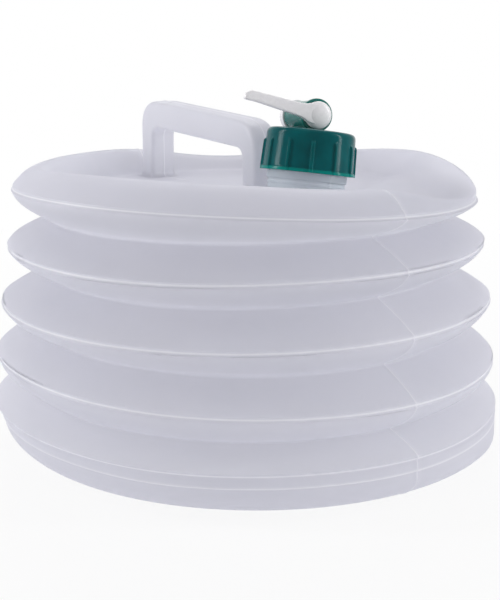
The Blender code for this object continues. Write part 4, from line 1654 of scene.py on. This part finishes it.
    def lever(self, material: bpy.types.Material) -> None:
        """Makes the arm: rounded rectangles along a line that rises and bends down at the tip.

        The arm flares towards the disc by a falling exponential of the way along, its end is
        rounded by a quarter circle, and its upper side is cut slantwise at the tip.

        Args:
            material: The lever's finish.
        """
        along = np.concatenate([np.linspace(-2, 11, 14), np.linspace(12, 34, 14), np.linspace(34.8, 41.2, 9),
                                [41.5, 41.75, 41.9, 42.0]]) * MM
        past = np.clip((along - self.reach + self.tip) / self.tip, 0, 1)
        fall = -self.tip_drop * past * ease(past * 2)
        share = np.clip(along / (self.reach - self.tip), 0, 1)
        half = (self.root_width + (self.tip_width - self.root_width) * share) / 2
        beyond = np.maximum(along - self.flare_from, 0)
        half = half + self.root_flare * np.exp(-beyond / self.flare_fade) * (along > 0)
        half = np.minimum(half, self.root_width / 2 + self.flare_limit)
        to_end = np.clip(along - (self.reach - self.end_round), 0, 1) / self.end_round
        round_off = self.end_round * (1 - np.sqrt(np.clip(1 - to_end**2, 0, 1)))
        half = half - round_off
        thick = self.thickness / 2 - round_off
        cut_from = self.reach - self.tip_cut_run
        cut = self.tip_cut * np.clip((along - cut_from) / self.tip_cut_run, 0, 1)
        front = -(self.disc_back + self.thickness / 2)
        turn_x = np.array([math.cos(self.lever_rise), math.sin(self.lever_rise), 0])
        turn_y = np.array([-math.sin(self.lever_rise), math.cos(self.lever_rise), 0])
        deep = np.array([0, 0, 1.0])
        middle = along[:, None] * turn_x + fall[:, None] * turn_y + deep * front
        upper = turn_y * (half - cut)[:, None]
        lower = turn_y * half[:, None]
        face = deep * thick[:, None]
        spots = [middle + upper, middle + upper + face, middle - lower + face, middle - lower - face,
                 middle + upper - face, middle + upper]
        chain = [self.axes.place(spot) for spot in spots]
        soft = np.minimum(self.lever_round, 0.42 * np.minimum(thick, half))
        loops = np.swapaxes(filleted(chain, [soft] * 4, [2, 4, 3, 4, 2], 4), 0, 1)[:, :-1]
        dress(swept("lever_arm", loops), material, Body.PLUG)

    def spout(self, material: bpy.types.Material) -> None:
        """Makes the collar on the plug's open end, a turned line with rounded edges.

        Args:
            material: The collar's finish.
        """
        inner, outer = self.shaft + self.collar_gap, self.collar_radius
        low, high = self.back + self.collar_gap, self.back + self.collar_end
        middle = (low + high) / 2
        line = [(inner, middle), (inner, low), (outer, low), (outer, high), (inner, high), (inner, middle)]
        soft = [reach * MM for reach in self.collar_rounds]
        collar = turned("collar_ring", self.axes, line, soft, [1, 1, 3, 1, 1], 72)
        dress(collar, material, Body.PLUG, ["spout_collar"])

    def build(self, cap_finish: bpy.types.Material, tap_finish: bpy.types.Material) -> None:
        """Makes all the tap's pieces.

        Args:
            cap_finish: The barrel's finish: the cap's colour, painted paler as a painted highlight.
            tap_finish: The finish of plug, lever and collar.
        """
        self.barrel(cap_finish)
        self.plug(tap_finish)
        self.lever(tap_finish)
        self.spout(tap_finish)


# Studio


@dataclass
class Softbox:
    """One large soft light that faces the object."""

    name: str
    place: tuple[float, float, float]
    size: tuple[float, float]
    power: float

    def build(self, target: tuple[float, float, float]) -> None:
        """Adds the light and turns it to its target.

        Args:
            target: The point it faces.
        """
        data = bpy.data.lights.new(self.name, "AREA")
        data.shape = "RECTANGLE"
        data.size, data.size_y = self.size
        data.energy = self.power
        light = bpy.data.objects.new(self.name, data)
        bpy.context.scene.collection.objects.link(light)
        light.location = self.place
        look = Vector(target) - Vector(self.place)
        light.rotation_euler = look.to_track_quat("-Z", "Y").to_euler()
        light.visible_camera = False


@dataclass
class Studio:
    """Camera, floor, lights and white surroundings."""

    camera_place: tuple[float, float, float] = (0.5554, -0.4095, 0.2333)
    pitch: float = 12.4396 * DEG
    turn: float = 0.19 * DEG
    lens: float = 48.98
    sensor: float = 24
    ambient: float = 0.44
    floor_rings: tuple[float, ...] = (0.0001, 0.2, 0.5, 1.2, 3, 6)
    floor_drop: float = 0.2 * MM
    aim: tuple[float, float, float] = (0, 0, 0.09)

    def from_camera(self, azimuth: float, distance: float, height: float) -> tuple[float, float, float]:
        """A place turned by an angle from the camera's side, to the right as the camera sees it.

        Args:
            azimuth: The turn from the camera's side.
            distance: How far out from the object's axis the place is.
            height: Its height above the floor.

        Returns:
            The place in the scene.
        """
        angle = VIEW_AZIMUTH + azimuth
        return (distance * math.cos(angle), distance * math.sin(angle), height)

    def camera(self) -> None:
        """Adds the camera where the photograph was taken from."""
        data = bpy.data.cameras.new("camera")
        data.sensor_fit = "VERTICAL"
        data.sensor_height = self.sensor
        data.lens = self.lens
        camera = bpy.data.objects.new("camera", data)
        bpy.context.scene.collection.objects.link(camera)
        camera.location = self.camera_place
        heading = math.atan2(self.camera_place[0], -self.camera_place[1]) - self.turn
        camera.rotation_euler = (math.pi / 2 - self.pitch, 0, heading)
        bpy.context.scene.camera = camera

    def floor(self) -> None:
        """Adds the floor: rings round the object's foot, on the ground."""
        radius = np.array(self.floor_rings)
        section = np.stack([radius, np.full_like(radius, -self.floor_drop)], axis=-1)[::-1, None]
        floor = surface("studio_floor", around(section, even_angles(64)))
        floor.data.materials.append(StudioFloor().build())

    def world(self) -> None:
        """Makes the surroundings: white to the camera, to gloss and through glass, dimmer elsewhere."""
        world = bpy.data.worlds.new("studio_world")
        bpy.context.scene.world = world
        world.use_nodes = True
        tree = world.node_tree
        back = tree.nodes["Background"]
        back.inputs["Color"].default_value = (1, 1, 1, 1)
        seen = tree.nodes.new("ShaderNodeMapRange")
        seen.inputs["To Min"].default_value = self.ambient
        seen.inputs["To Max"].default_value = 1
        tree.links.new(sees_background(tree), seen.inputs["Value"])
        tree.links.new(seen.outputs["Result"], back.inputs["Strength"])

    def build(self) -> None:
        """Sets up the whole studio."""
        scene = bpy.context.scene
        scene.view_settings.view_transform = "Standard"
        self.camera()
        self.floor()
        self.world()
        for light in (
            Softbox("left_box", self.from_camera(-86 * DEG, 1.1, 0.45), (0.2, 1.0), 8),
            Softbox("right_box", self.from_camera(78 * DEG, 1.1, 0.45), (0.16, 1.0), 7),
            Softbox("back_box", self.from_camera(178 * DEG, 0.8, 1.1), (0.9, 0.5), 6),
            Softbox("top_box", self.from_camera(20 * DEG, 0.15, 1.5), (1.3, 1.3), 3),
        ):
            light.build(self.aim)


def main() -> None:
    logging.basicConfig(level=logging.INFO, format="%(message)s")
    joints = {joint["name"]: joint for joint in frame["joints"]}
    neck_axis = np.array(joints["cap_turn"]["axis"])
    across = unit(np.array([1.0, 0, 0]) - neck_axis * neck_axis[0])
    neck = Axes(np.array(joints["cap_turn"]["pos_m"]), across, np.cross(neck_axis, across), neck_axis)
    tap_axis = unit(np.array(joints["tap_turn"]["axis"]))
    tap = Axes(np.array(joints["tap_turn"]["pos_m"]), np.cross(neck_axis, tap_axis), neck_axis, tap_axis)
    milky = MilkyPolyethylene().build()
    # The handle's brighter copy of the bottle plastic is painted light.
    pale = replace(
        MilkyPolyethylene(), name="polyethylene_lit_copy", colour=(0.68, 0.68, 0.71), cloud=(0.62, 0.62, 0.66),
        glow_share=0.55,
    ).build()
    teal = GlossyPolypropylene(
        "teal_gloss", (0.0, 0.096, 0.102), (0.0, 0.072, 0.080), (0.0, 0.24, 0.20),
    ).build()
    # Lighter copy of the teal for the barrel: painted highlight.
    painted_highlight_teal = GlossyPolypropylene(
        "teal_gloss_painted_highlight", (0.01, 0.15, 0.125), (0.0, 0.11, 0.10), (0.0, 0.24, 0.20), level=0.25,
    ).build()
    white = GlossyPolypropylene(
        "white_gloss", (0.84, 0.83, 0.84), (0.81, 0.80, 0.82), (0.86, 0.85, 0.86), 0.24, 0.3,
    ).build()
    form = BottleForm()
    BasePan(form).build(milky)
    BellowsSkin(form).build(milky)
    ShoulderTop(form, neck).build(milky)
    CarryHandle().build(pale)
    outer = ThreadRidge(neck, radius=19.8 * MM, top=29.9 * MM, depth=1.1 * MM)
    dress(outer.build("neck_thread"), milky, Body.TOP)
    ScrewCap(neck).build(teal)
    inner = ThreadRidge(neck, radius=21.4 * MM, top=27.65 * MM, depth=-1.1 * MM)
    dress(inner.build("cap_thread"), teal, Body.CAP)
    LeverTap(tap, neck).build(painted_highlight_teal, white)
    liner = frame["nodes"]["cap_liner"]
    liner.data.materials.clear()
    liner.data.materials.append(PaleFoam().build())
    Studio().build()


if __name__ == "__main__":
    main()
